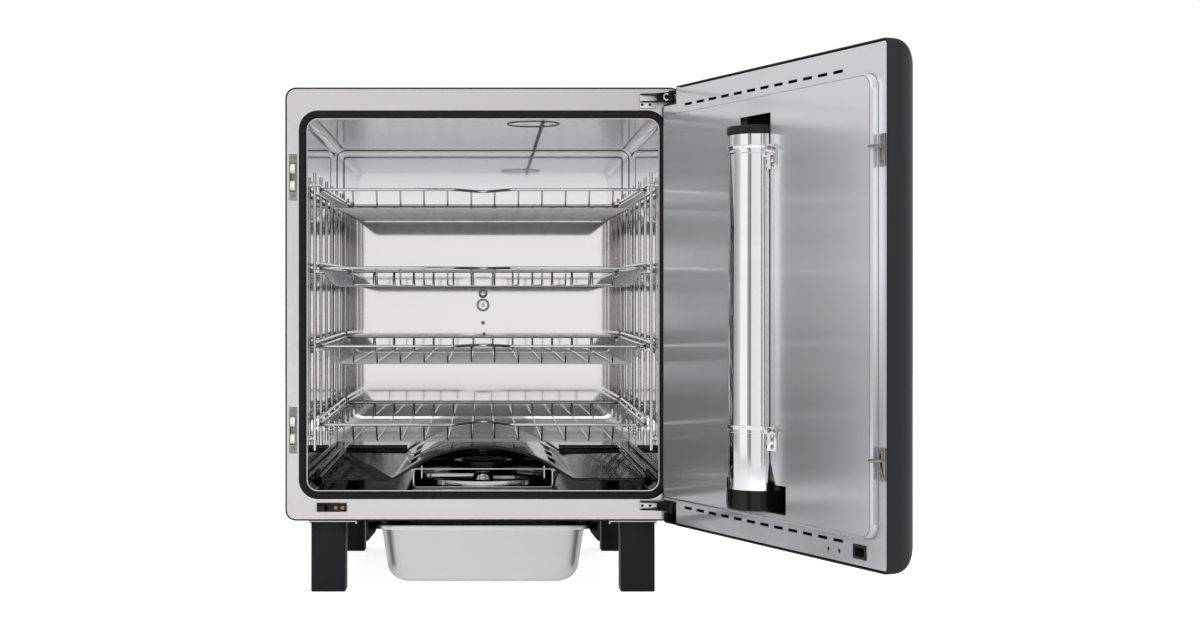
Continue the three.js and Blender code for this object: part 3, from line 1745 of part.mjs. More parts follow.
smoker.add(
  named("outer_wrap", outerWrap(), "anthracite"),
  named("front_frame", frontFrame(), "stainless"),
  named("back_panel", backPanel(), "anthracite"),
  named("cavity_liner", cavityLiner(), "mirror"),
  named("insulation", insulation(), "wool"),
  named("door_gasket", doorGasket(), "rubber"),
  named("power_inlet", powerInlet(), "black"),
  named("control_board", controlBoard(), "board"),
  named("leg_front_left", leg(-legX, frontLegY), "black"),
  named("leg_front_right", leg(legX, frontLegY), "black"),
  named("leg_rear_left", leg(-legX, rearLegY), "black"),
  named("leg_rear_right", leg(legX, rearLegY), "black"),
  named("leg_rail_left", legRail(-1), "stainless"),
  named("leg_rail_right", legRail(1), "stainless"),
  named("pan_runner_left", panRunner(-1), "black"),
  named("pan_runner_right", panRunner(1), "black"),
  named("drip_chute", dripChute(), "stainless"),
  named("drip_pan", dripPan(), "stainless"),
  named("rack_support_left", rackSupport(-1), "chrome"),
  named("rack_support_right", rackSupport(1), "chrome"),
  named("deflector", deflector(), "stainless"),
  named("heater_left", heater(-1), "black"),
  named("heater_right", heater(1), "black"),
  named("burner_pan", burnerPan(), "stainless"),
  named("burner_plate", burnerPlate(), "black"),
  named("burner_guard", burnerGuard(), "stainless"),
  named("puck_arm", puckArm(), "stainless"),
  named("temperature_probe", temperatureProbe(), "stainless"),
  named("ceiling_sensor", ceilingSensor(), "stainless"),
  named("latch_body", latchBody(), "black"),
  named("latch_hook", latchHook(), "black"),
  named("hinge_arm_upper", hingeArm(doorTop - upperPocketHeight + upperArmRise, hingeTab), "stainless"),
  named(
    "hinge_arm_lower",
    hingeArm(doorBottom + lowerPocketHeight - lowerArmRise - hingeArmHeight, 0),
    "stainless",
  ),
);
for (let i = 0; i < basketCount; i++) {
  smoker.add(named("basket_" + (i + 1), basket(basketHeight(i)), "chrome"));
}
catchHeights.forEach((z, i) => {
  const place = i === 0 ? "upper" : "lower";
  smoker.add(
    named("catch_" + place, rollerCatch(z), "nickel"),
    named("roller_" + place + "_a", roller(z + rollerOffset), "ivory"),
    named("roller_" + place + "_b", roller(z - rollerOffset), "ivory"),
  );
});

// The door group turns about the hinge axis; its pieces are placed as when it is closed.
const door = new THREE.Group();
door.position.set(hingeX, hingeY, 0);
door.rotation.z = turn(doorOpenAngle);
const closedDoor = new THREE.Group();
closedDoor.position.set(-hingeX, -hingeY, 0);
closedDoor.add(
  named("door_shell", doorShell(), "anthracite"),
  named("door_inner_panel", doorInnerPanel(), "stainless"),
  named("door_insulation", doorInsulation(), "wool"),
  named("feeder_trough", feederTrough(), "black"),
  named("feeder_tube", feederTube(), "chrome"),
  named("feeder_base", feederBase(), "black"),
  named("feeder_cap", feederCap(), "black"),
  named("clamp_upper", clampBand(clampHeights[0]), "chrome"),
  named("clamp_lower", clampBand(clampHeights[1]), "chrome"),
  named("hinge_pocket_upper", hingePocket(true), "black"),
  named("hinge_pocket_lower", hingePocket(false), "black"),
  named("strike_upper", strike(catchHeights[0]), "nickel"),
  named("strike_lower", strike(catchHeights[1]), "nickel"),
  named("latch_socket", latchSocket(), "black"),
  named("door_handle", doorHandle(), "stainless"),
  named("control_panel", controlPanel(), "glass"),
);
door.add(closedDoor);
smoker.add(door);

// The origin is the middle of the whole smoker's footprint, door open, on the floor.
smoker.updateMatrixWorld(true);
const extent = new THREE.Box3().setFromObject(smoker, true);
const middle = extent.getCenter(new THREE.Vector3());
smoker.position.set(-middle.x, -middle.y, -extent.min.z);

export default smoker;
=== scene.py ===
import math

import bmesh
import bpy
from bpy.props import FloatProperty, FloatVectorProperty, IntProperty
from mathutils import Matrix, Vector


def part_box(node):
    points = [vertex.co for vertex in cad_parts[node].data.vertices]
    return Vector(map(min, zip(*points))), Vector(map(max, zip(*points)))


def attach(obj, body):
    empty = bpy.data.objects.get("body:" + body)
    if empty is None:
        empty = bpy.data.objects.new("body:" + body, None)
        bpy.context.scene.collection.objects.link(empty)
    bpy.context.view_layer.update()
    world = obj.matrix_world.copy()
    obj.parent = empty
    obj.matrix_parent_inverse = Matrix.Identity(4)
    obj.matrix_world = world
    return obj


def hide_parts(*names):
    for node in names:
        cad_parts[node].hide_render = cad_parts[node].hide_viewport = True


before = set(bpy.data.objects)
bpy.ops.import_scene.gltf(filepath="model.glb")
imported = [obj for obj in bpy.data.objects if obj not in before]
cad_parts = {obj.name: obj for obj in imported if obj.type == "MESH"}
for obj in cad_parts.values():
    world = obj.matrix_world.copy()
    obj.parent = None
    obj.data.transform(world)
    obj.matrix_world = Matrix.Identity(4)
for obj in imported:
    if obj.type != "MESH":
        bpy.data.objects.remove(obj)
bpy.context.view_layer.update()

bl_info = {
    "name": "Cabinet Smoker Looks",
    "version": (1, 0, 0),
    "blender": (4, 5, 0),
    "location": "3D View > Sidebar > Smoker",
    "description": "Builds the visible pieces and finishes of the cabinet smoker around its frame",
    "category": "Object",
}

MM = 0.001
CABINET_HALF = 230
CABINET_LOW = 84

# The cabinet's front lower left corner fixes the drawing's origin: the middle of the face, at the floor.
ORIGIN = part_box("outer_wrap")[0] + Vector((CABINET_HALF, 0, -CABINET_LOW)) * MM
PLACE = Matrix.Translation(ORIGIN) @ Matrix.Scale(MM, 4)
PIN = Vector((218, -18, 0))
OPEN_ANGLE = math.radians(111.5)
DOOR_PLACE = PLACE @ Matrix.Translation(PIN) @ Matrix.Rotation(OPEN_ANGLE, 4, "Z") @ Matrix.Translation(-PIN)

# Widths and heights, the heights of their middles, and depths behind the face.
CAVITY_SIZE = (408, 431.5)
CAVITY_TOP = 551
CAVITY_MIDDLE = CAVITY_TOP - CAVITY_SIZE[1] / 2
CAVITY_BACK = 453
CATCH_X = -221
CATCH_HEIGHTS = (483.5, 189.4)
BASKET_HEIGHTS = tuple(470 - 91.6 * i for i in range(4))
TUBE = (2.7, -7)
DOOR_SIZE = (2 * CABINET_HALF, 502)
DOOR_MIDDLE = 334
DOOR_INSIDE = -12.3
DOOR_OUTSIDE = DOOR_INSIDE - 45
DOOR_FRONT = DOOR_OUTSIDE - 0.3
EMBOSS_FACE = DOOR_INSIDE + 8
EMBOSS_SIZE = (429.4, 440.5)
EMBOSS_MIDDLE = 333.75
EMBOSS_CORNER = 15
BASKET_LEAN = 3.6 / 428
BASKET_FRONT = 12
BASKET_BACK = 440
BOW_HALF = 40
BOW_DEPTH = 45
SUPPORT_X = 197
PROBE_HEIGHT = 335


# Shader maths


class Signal:
    """A shader socket whose arithmetic adds Math nodes to its finish."""

    def __init__(self, finish, socket):
        self.finish = finish
        self.socket = socket

    def maths(self, operation, *values):
        return self.finish.node("ShaderNodeMath", {"operation": operation}, dict(enumerate(values)))

    def __add__(self, other):
        return self.maths("ADD", self, other)

    __radd__ = __add__

    def __sub__(self, other):
        return self.maths("SUBTRACT", self, other)

    def __rsub__(self, other):
        return self.maths("SUBTRACT", other, self)

    def __mul__(self, other):
        return self.maths("MULTIPLY", self, other)

    __rmul__ = __mul__


class Finish:
    """A tree of shader nodes. Every node of it comes from node()."""

    def __init__(self, tree):
        self.tree = tree
        tree.nodes.clear()

    def node(self, kind, settings=None, values=None, out=0):
        made = self.tree.nodes.new(kind)
        for key, value in (settings or {}).items():
            if key == "stops":
                stops = made.color_ramp.elements
                while len(stops) < len(value):
                    stops.new(1)
                for stop, (position, shade) in zip(stops, value):
                    stop.position = position
                    stop.color = (*shade, 1) if hasattr(shade, "__len__") else (shade, shade, shade, 1)
            else:
                setattr(made, key, value)
        for key, value in (values or {}).items():
            socket = made.inputs[key]
            if isinstance(value, Signal):
                self.tree.links.new(value.socket, socket)
            else:
                socket.default_value = value
        return Signal(self, made.outputs[out]) if len(made.outputs) else None

    def spot(self, out="Object"):
        return self.node("ShaderNodeTexCoord", None, None, out)

    def split(self, vector, axis):
        return self.node("ShaderNodeSeparateXYZ", None, {"Vector": vector}, axis)

    def ray(self, kind):
        return self.node("ShaderNodeLightPath", None, None, "Is %s Ray" % kind)

    def noise(self, scale, detail=2.0, turn=0.0):
        """Noise at one scale for all axes or one for each, along axes that may be turned."""
        where = self.spot()
        if turn:
            values = {"Vector": where, "Rotation": (0, 0, turn)}
            where = self.node("ShaderNodeMapping", {"vector_type": "TEXTURE"}, values)
        scales = scale if hasattr(scale, "__len__") else (scale, scale, scale)
        where = self.node("ShaderNodeMapping", None, {"Vector": where, "Scale": scales})
        return self.node("ShaderNodeTexNoise", None, {"Vector": where, "Scale": 1.0, "Detail": detail}, "Fac")

    def mixed(self, mask, dark, light, blend="MIX"):
        settings = {"data_type": "RGBA", "blend_type": blend}
        return self.node("ShaderNodeMix", settings, {"Factor": mask, "A": dark, "B": light}, "Result")

    def toned(self, mask, shade, low, high=1.0):
        """A shade that goes between two shares of itself."""
        dark, light = ((*[c * share for c in shade[:3]], 1) for share in (low, high))
        return self.mixed(mask, dark, light)

    def bump(self, height, strength, distance):
        values = {"Height": height, "Strength": strength, "Distance": distance * MM}
        return self.node("ShaderNodeBump", None, values)

    def height(self):
        """The height on the piece, in shares of 0.6 m."""
        return self.split(self.spot(), "Z") * (1 / 0.6)

    def banded(self, place, stops):
        return self.node("ShaderNodeValToRGB", {"stops": stops}, {"Fac": place})


def linear(shade):
    """An sRGB colour from 0 to 255 as linear colour with alpha."""
    parts = [c / 255 for c in shade]
    return (*[c / 12.92 if c <= 0.04045 else ((c + 0.055) / 1.055) ** 2.4 for c in parts], 1)


# Recipes: each gives its shader's sockets, from a colour, a roughness and its own details


def rolled_steel(
    finish, shade, rough, grain, turn=0.0, spread=0.08, smear=0.0, depth=0.12, uneven=0.5, metal=1.0, low=None
):
    """Rolled or brushed sheet: fine grain along one way, with faint broad streaks. low is painted shade that
    darkens its low part.
    """
    fine = finish.noise([6.0 if axis == grain else 1400.0 for axis in "xyz"], 2, turn)
    broad = finish.noise([1.2 if axis == grain else 160 for axis in "xyz"], 3, turn)
    mask = fine * 0.45 + broad * 0.35 + finish.noise(5, 3) * 0.2
    tone = finish.toned(mask, shade, 1 - spread, min(1 + spread, 0.99 / max(shade[:3])))
    # Painted shade: towards the bottom the colour falls to the share low of itself.
    if low is not None:
        shadow = finish.banded(finish.height(), [(0.15, low), (0.38, low), (0.62, 1.0), (1.0, 1.0)])
        tone = finish.mixed(1.0, tone, shadow, "MULTIPLY")
    return {
        "Metallic": metal,
        "Anisotropic": smear,
        "Base Color": tone,
        "Roughness": rough * (1 - uneven / 2) + mask * (rough * uneven),
        "Normal": finish.bump(fine, depth, 0.05),
    }


def polished_sheet(finish, shade, rough):
    """Mirror-like sheet, a little wavy and smeared."""
    smear = finish.noise((3, 3, 30), 4)
    speck = finish.noise(260)
    return {
        "Metallic": 1.0,
        "Base Color": finish.toned(smear, shade, 0.96),
        "Roughness": smear * rough + speck * (rough * 0.35) + rough * 0.4,
        "Normal": finish.bump(finish.noise((9, 9, 14), 1), 0.2, 0.6),
    }


def cavity_sheet(finish, shade, rough):
    """The cavity's polished sheet: drawing lines across, painted shade that darkens its floor nearly to black, and
    a bluish band of painted shade under the ceiling.
    """
    drawn = finish.noise((3, 3, 70), 3)
    cloud = finish.noise((4, 4, 9))
    height = finish.height()
    # Painted shade: nearly black on the floor and just above it, and bluish grey in a band just under the ceiling.
    painted_floor_shade, unshaded, painted_roof_fade, painted_roof_shade = 0.012, 1.0, (0.8, 0.82, 0.85), (0.72, 0.75, 0.78)
    stops = [(0.0, painted_floor_shade), (0.206, painted_floor_shade), (0.221, unshaded), (0.81, unshaded), (0.86, painted_roof_fade), (0.905, painted_roof_shade)]
    painted_shade = finish.banded(height, stops + [(0.912, unshaded), (1.0, unshaded)])
    roof = finish.banded(height, [(0.912, 0.0), (0.914, 1.0)])
    return {
        "Base Color": finish.mixed(1.0, finish.toned(drawn * 0.5 + cloud * 0.5, shade, 0.93), painted_shade, "MULTIPLY"),
        "Metallic": 0.95 - roof * 0.45,
        "Roughness": rough * 0.8 + drawn * (rough * 0.4) + roof * 0.12,
    }


def enamel(finish, shade, rough):
    """Smooth black enamel with a little unevenness in its shine."""
    cloud = finish.noise(25, 3)
    return {
        "Specular IOR Level": 0.3,
        "Base Color": finish.toned(cloud, shade, 0.8, 1.2),
        "Roughness": rough * 0.7 + cloud * (rough * 0.6),
    }


def plated(finish, shade, rough):
    """Bright plating on wire and tube, with faint drawing lines and dulled patches."""
    patch = finish.noise(40, 3)
    return {
        "Metallic": 1.0,
        "Base Color": finish.toned(patch, shade, 0.88),
        "Roughness": rough * 0.7 + patch * (rough * 0.6),
        "Normal": finish.bump(finish.noise((900, 900, 25)), 0.05, 0.03),
    }


def powder_coat(finish, shade, rough):
    """Sprayed satin paint with its fine orange peel and a worn, lighter haze."""
    peel = finish.noise(700)
    return {
        "Specular IOR Level": 0.14,
        "Base Color": finish.toned(finish.noise(6, 3) * 0.6 + peel * 0.4, shade, 0.86, 1.12),
        "Roughness": rough * 0.85 + peel * (rough * 0.3),
        "Normal": finish.bump(peel, 0.18, 0.06),
    }


def moulded(finish, shade, rough, gloss=0.5):
    """Moulded plastic or rubber with a fine spark-eroded texture."""
    grit = finish.noise(1500)
    return {
        "Specular IOR Level": gloss,
        "Base Color": finish.toned(finish.noise(30), shade, 0.9, 1.08),
        "Roughness": rough * 0.85 + grit * (rough * 0.3),
        "Normal": finish.bump(grit, 0.12, 0.03),
    }


def wool(finish, shade):
    """Matted mineral wool."""
    fibre = finish.noise((200, 900, 200), 5)
    return {
        "Roughness": 1.0,
        "Base Color": finish.toned(fibre, shade, 0.7),
        "Normal": finish.bump(fibre, 0.7, 1.0),
    }


def board(finish, shade, track):
    """A circuit board with its tracks."""
    values = {"Vector": finish.spot(), "Scale": 180.0}
    cells = finish.node("ShaderNodeTexVoronoi", {"feature": "DISTANCE_TO_EDGE"}, values, "Distance")
    lines = finish.banded(cells, [(0.03, 1.0), (0.06, 0.0)])
    return {"Roughness": 0.4, "Base Color": finish.mixed(lines, shade, linear(track))}


# Recipe, colour and details. A colour given by name is one of the user's.
FINISHES = {
    "paint": (powder_coat, "paint", 0.42),
    "face_steel": (rolled_steel, "face", 0.3, "x", 0.0, 0.03),
    # The door steel's last detail, low, paints shade on the door's low part.
    "door_steel": (rolled_steel, "door", 0.15, "z", OPEN_ANGLE, 0.015, 0.88, 0.02, 0.1, 0.66, 0.66),
    "steel": (rolled_steel, (204, 200, 199), 0.28, "x"),
    "satin_steel": (rolled_steel, (236, 235, 236), 0.36, "x", 0.0, 0.04),
    "polished": (cavity_sheet, (249, 245, 247), 0.045),
    "mirror_steel": (polished_sheet, (190, 188, 188), 0.07),
    "chrome": (plated, (248, 248, 250), 0.07),
    "wire": (plated, (222, 222, 224), 0.06),
    "dull_wire": (plated, (196, 196, 199), 0.1),
    "nickel": (plated, (165, 162, 154), 0.34),
    "brass": (plated, (190, 160, 96), 0.3),
    "black": (powder_coat, (32, 32, 35), 0.4),
    "crease": (moulded, (122, 123, 127), 0.4),
    "black_plastic": (moulded, (24, 24, 26), 0.4, 0.3),
    "rubber": (moulded, (22, 22, 24), 0.5, 0.2),
    "ivory": (moulded, (240, 239, 231), 0.35),
    "glass": (moulded, (16, 17, 19), 0.08, 0.6),
    "rod": (enamel, (26, 25, 24), 0.22),
    "enamel": (enamel, (18, 17, 16), 0.1),
    "seam": (enamel, (44, 46, 50), 0.4),
    "wool": (wool, (222, 214, 192)),
    "board": (board, (38, 96, 62), (84, 146, 98)),
}
MADE_FINISHES = {}


def new_finish(name):
    material = bpy.data.materials.new(name)
    material.use_nodes = True
    return material, Finish(material.node_tree)


def finish_named(name):
    """A finish, made the first time that a piece asks for it."""
    if name not in MADE_FINISHES:
        recipe, shade, *details = FINISHES[name]
        if isinstance(shade, str):
            shade = [255 * c for c in getattr(bpy.context.scene.smoker_colours, shade)]
        material, finish = new_finish(name)
        shader = finish.node("ShaderNodeBsdfPrincipled", None, recipe(finish, linear(shade), *details))
        finish.node("ShaderNodeOutputMaterial", None, {"Surface": shader})
        MADE_FINISHES[name] = material
    return MADE_FINISHES[name]


# Shapes, drawn in millimetres


def new_object(name, mesh):
    made = bpy.data.objects.new(name, mesh)
    bpy.context.scene.collection.objects.link(made)
    return made


def smooth_by_angle(mesh, degrees=35):
    mesh.polygons.foreach_set("use_smooth", [True] * len(mesh.polygons))
    mesh.set_sharp_from_angle(angle=math.radians(degrees))


def object_from(name, bm, degrees=35):
    bmesh.ops.recalc_face_normals(bm, faces=bm.faces[:])
    mesh = bpy.data.meshes.new(name)
    bm.to_mesh(mesh)
    bm.free()
    smooth_by_angle(mesh, degrees)
    return new_object(name, mesh)


def applied(made, degrees=35):
    """Turns an object's modifiers into its mesh."""
    graph = bpy.context.evaluated_depsgraph_get()
    mesh = bpy.data.meshes.new_from_object(made.evaluated_get(graph))
    made.modifiers.clear()
    made.data = mesh
    smooth_by_angle(mesh, degrees)
    return made


def softened(made, width, degrees=40, smooth=30):
    """Breaks the edges that are sharper than an angle."""
    edge = made.modifiers.new("edges", "BEVEL")
    edge.width = width
    edge.segments = 2
    edge.limit_method = "ANGLE"
    edge.angle_limit = math.radians(degrees)
    edge.harden_normals = False
    return applied(made, smooth)


def thickened(made, thickness, offset, degrees):
    """Gives a sheet its thickness."""
    sheet = made.modifiers.new("thickness", "SOLIDIFY")
    sheet.thickness = thickness
    sheet.offset = offset
    return applied(made, degrees)


def cut(made, *cutters, degrees=35):
    """Takes other pieces' shapes out of one, and removes them."""
    for cutter in cutters:
        knife = made.modifiers.new("cut", "BOOLEAN")
        knife.operation = "DIFFERENCE"
        knife.solver = "EXACT"
        knife.object = cutter
    applied(made, degrees)
    for cutter in cutters:
        bpy.data.objects.remove(cutter)
    return made


def joined(name, *parts, degrees=35):
    """One object from several, kept as separate shells."""
    bm = bmesh.new()
    for part in parts:
        start = len(bm.verts)
        bm.from_mesh(part.data)
        bm.verts.ensure_lookup_table()
        bmesh.ops.transform(bm, matrix=part.matrix_world, verts=bm.verts[start:])
        bpy.data.objects.remove(part)
    return object_from(name, bm, degrees)


def strips(bm, rings, closed=False):
    """Quads between rings of points; closed joins the last ring to the first. Gives back the rings' corners."""
    loops = [[bm.verts.new(p) for p in ring] for ring in rings]
    pairs = list(zip(loops, loops[1:])) + ([(loops[-1], loops[0])] if closed else [])
    for low, high in pairs:
        for i in range(len(low)):
            j = (i + 1) % len(low)
            bm.faces.new((low[i], low[j], high[j], high[i]))
    return loops


def loft(name, rings, closed=False, caps="both", degrees=35):
    """A skin over rings of points, with a cap on both ends or on the last."""
    bm = bmesh.new()
    loops = strips(bm, rings, closed)
    if not closed:
        if caps == "both":
            bm.faces.new(loops[0][::-1])
        bm.faces.new(loops[-1])
    return object_from(name, bm, degrees)


def round_angles(count):
    return [2 * math.pi * i / count for i in range(count)]


def quarter(steps):
    """The angles of a quarter turn, both ends included."""
    return [math.pi / 2 * i / steps for i in range(steps + 1)]


def turned(name, profile, centre=(0, 0, 0), axis="Z", sides=48, closed=True):
    """A body of revolution. Its profile is radius and height along the axis."""
    lay = {
        "Z": lambda r, h, c, s: (r * c, r * s, h),
        "Y": lambda r, h, c, s: (r * c, h, r * s),
        "X": lambda r, h, c, s: (h, r * c, r * s),
    }[axis]
    base = Vector(centre)
    bm = bmesh.new()
    loops = []
    for r, h in profile:
        angles = round_angles(sides) if r else [0.0]
        loops.append([bm.verts.new(base + Vector(lay(r, h, math.cos(a), math.sin(a)))) for a in angles])
    pairs = list(zip(loops, loops[1:]))
    if closed and len(loops[0]) > 1:
        pairs.append((loops[-1], loops[0]))
    for low, high in pairs:
        for i in range(sides):
            j = (i + 1) % sides
            corners = [low[i % len(low)], low[j % len(low)], high[j % len(high)], high[i % len(high)]]
            unique = list(dict.fromkeys(corners))
            if len(unique) > 2:
                bm.faces.new(unique)
    return object_from(name, bm)


def slab(name, x, y, z, edge=0.0):
    """A block between its limits, with its edges broken."""
    bm = bmesh.new()
    bmesh.ops.create_cube(bm, size=1)
    size = Vector((x[1] - x[0], y[1] - y[0], z[1] - z[0]))
    middle = Vector((sum(x) / 2, sum(y) / 2, sum(z) / 2))
    for vert in bm.verts:
        vert.co = Vector(a * b for a, b in zip(vert.co, size)) + middle
    made = object_from(name, bm)
    return softened(made, edge) if edge else made


def rounded_loop(width, height, corner, a=0.0, b=0.0, steps=6):
    """A rounded rectangle's points, anticlockwise."""
    points = []
    for turn, (sa, sb) in enumerate(((1, -1), (1, 1), (-1, 1), (-1, -1))):
        ca = a + sa * (width / 2 - corner)
        cb = b + sb * (height / 2 - corner)
        for i in range(steps + 1):
            angle = math.pi / 2 * (turn - 1 + i / steps)
            points.append((ca + corner * math.cos(angle), cb + corner * math.sin(angle)))
    return points


def standing(size, inset, corner, middle, y, steps=6):
    """A rounded rectangle that stands at a depth, its middle at a height and its sides moved in by inset."""
    width, height = (side - 2 * inset for side in size)
    return [(a, y, b) for a, b in rounded_loop(width, height, corner, 0, middle, steps)]


def filleted(points, radius, steps=4):
    """An open path with its corners rounded."""
    path = [Vector(points[0])]
    for before, here, after in zip(points, points[1:], points[2:]):
        here = Vector(here)
        arriving = Vector(before) - here
        leaving = Vector(after) - here
        reach = min(radius, arriving.length / 2, leaving.length / 2)
        start = here + arriving.normalized() * reach
        end = here + leaving.normalized() * reach
        for i in range(steps + 1):
            t = i / steps
            path.append(start.lerp(here, t).lerp(here.lerp(end, t), t))
    path.append(Vector(points[-1]))
    return path


def wires(name, paths, radius, cyclic=False, resolution=3):
    """Round wire along paths, as one curve."""
    curve = bpy.data.curves.new(name, "CURVE")
    curve.dimensions = "3D"
    curve.bevel_depth = radius
    curve.bevel_resolution = resolution
    curve.use_fill_caps = True
    for path in paths:
        spline = curve.splines.new("POLY")
        spline.points.add(len(path) - 1)
        for point, place in zip(spline.points, path):
            point.co = (*place, 1)
        spline.use_cyclic_u = cyclic
        spline.use_smooth = True
    drawn = new_object(name, curve)
    graph = bpy.context.evaluated_depsgraph_get()
    mesh = bpy.data.meshes.new_from_object(drawn.evaluated_get(graph))
    bpy.data.objects.remove(drawn)
    smooth_by_angle(mesh, 50)
    return new_object(name, mesh)


def worked(node, edge=0.25, flat=None):
    """A CAD node's own shape, welded, with its curved faces smooth and its edges broken. In metres.

    Faces larger than flat, in square millimetres, are shaded flat, so that sheet metal mirrors straight.
    """
    bm = bmesh.new()
    bm.from_mesh(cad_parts[node].data)
    bmesh.ops.remove_doubles(bm, verts=bm.verts[:], dist=1e-6)
    bmesh.ops.dissolve_limit(bm, angle_limit=math.radians(0.5), verts=bm.verts[:], edges=bm.edges[:])
    smooth = 38
    made = object_from(node + "_worked", bm, smooth)
    if edge:
        softened(made, edge * MM, 50, smooth)
    return flattened(made, flat * MM * MM) if flat else made


def flattened(made, area):
    """Shades the faces larger than an area flat."""
    for face in made.data.polygons:
        face.use_smooth = face.area < area
    return made


def settle(made, body, finish, replaces=(), name=None, drawn=True):
    """Gives a piece its finish and rides it on its body; one drawn in millimetres is first put in the frame."""
    if drawn:
        place = DOOR_PLACE if body in ("door", "feeder_cap") else PLACE
        made.data.transform(place @ made.matrix_world)
        made.matrix_world = Matrix.Identity(4)
    if name:
        made.name = name
    made.data.materials.clear()
    made.data.materials.append(finish_named(finish))
    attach(made, body)
    if replaces:
        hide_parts(*replaces)
    return made


def keep(node, finish):
    """A CAD node that shows as it is, in its own finish."""
    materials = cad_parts[node].data.materials
    materials.clear()
    materials.append(finish_named(finish))


def rework(node, body, finish, edge=0.25, flat=None):
    """A CAD node's own shape with its edges broken, in its finish."""
    return settle(worked(node, edge, flat=flat), body, finish, (node,), drawn=False)


SCREW_MESHES = {}


def screw(name, centre, direction, radius, body, finish="nickel"):
    """A pan-head screw with a cross recess, its seat at centre."""
    if radius not in SCREW_MESHES:
        high = radius * 0.62
        rise = [(0, -0.15), (radius * 0.98, -0.15), (radius, 0.05), (radius * 0.96, high * 0.45)]
        dome = [(radius * math.cos(a), high * (0.45 + 0.55 * math.sin(a))) for a in (0.5, 0.8, 1.1, 1.35)]
        head = turned("head", [*rise, *dome, (0, high)], sides=28, closed=False)
        arm = radius * 0.62
        thin = radius * 0.13
        reach = (high * 0.4, high * 2)
        cross = [slab("a", (-arm, arm), (-thin, thin), reach), slab("b", (-thin, thin), (-arm, arm), reach)]
        SCREW_MESHES[radius] = cut(head, *cross).data.copy()
        bpy.data.objects.remove(head)
    made = new_object(name, SCREW_MESHES[radius].copy())
    turn = Vector(direction).to_track_quat("Z", "Y").to_matrix().to_4x4()
    # A steady, different turn for each screw.
    spin = Matrix.Rotation((centre[0] * 0.37 + centre[2] * 0.53) % math.pi, 4, "Z")
    made.matrix_world = Matrix.Translation(centre) @ turn @ spin
    bpy.context.view_layer.update()
    return settle(made, body, finish)


# Settings


def length(name, description, default, unit="LENGTH"):
    return FloatProperty(name=name, description=description, default=default, unit=unit)


def colour(name, description, default):
    return FloatVectorProperty(name=name, description=description, subtype="COLOR_GAMMA", size=3, default=default)


class SmokerSizes(bpy.types.PropertyGroup):
    """Sizes that a user may want to change."""

    camera_distance: length("Camera distance", "From the camera to the cabinet's face", 2.197)
    camera_height: length("Camera height", "Height of the camera over the floor", 0.335)
    focal_length: length("Focal length", "Focal length on a 36 mm sensor", 56.67, "CAMERA")
    rim_wire: length("Rim wire", "Radius of the wire round a basket's rim", 0.0017)
    mesh_wire: length("Mesh wire", "Radius of the wires from a basket's front to its back", 0.00095)
    cross_wire: length("Cross wire", "Radius of the finer wires across a basket", 0.0006)
    cross_wires: IntProperty(name="Cross wires", description="Number of wires across each basket", default=20)


class SmokerColours(bpy.types.PropertyGroup):
    """Colours that a user may want to change."""

    paint: colour("Paint", "Powder coat of the cabinet and the door", (0.155, 0.16, 0.175))
    face: colour("Face steel", "Steel of the face frame", (0.88, 0.865, 0.87))
    door: colour("Door steel", "Brushed steel on the inside of the door", (0.95, 0.955, 0.97))


# Pieces


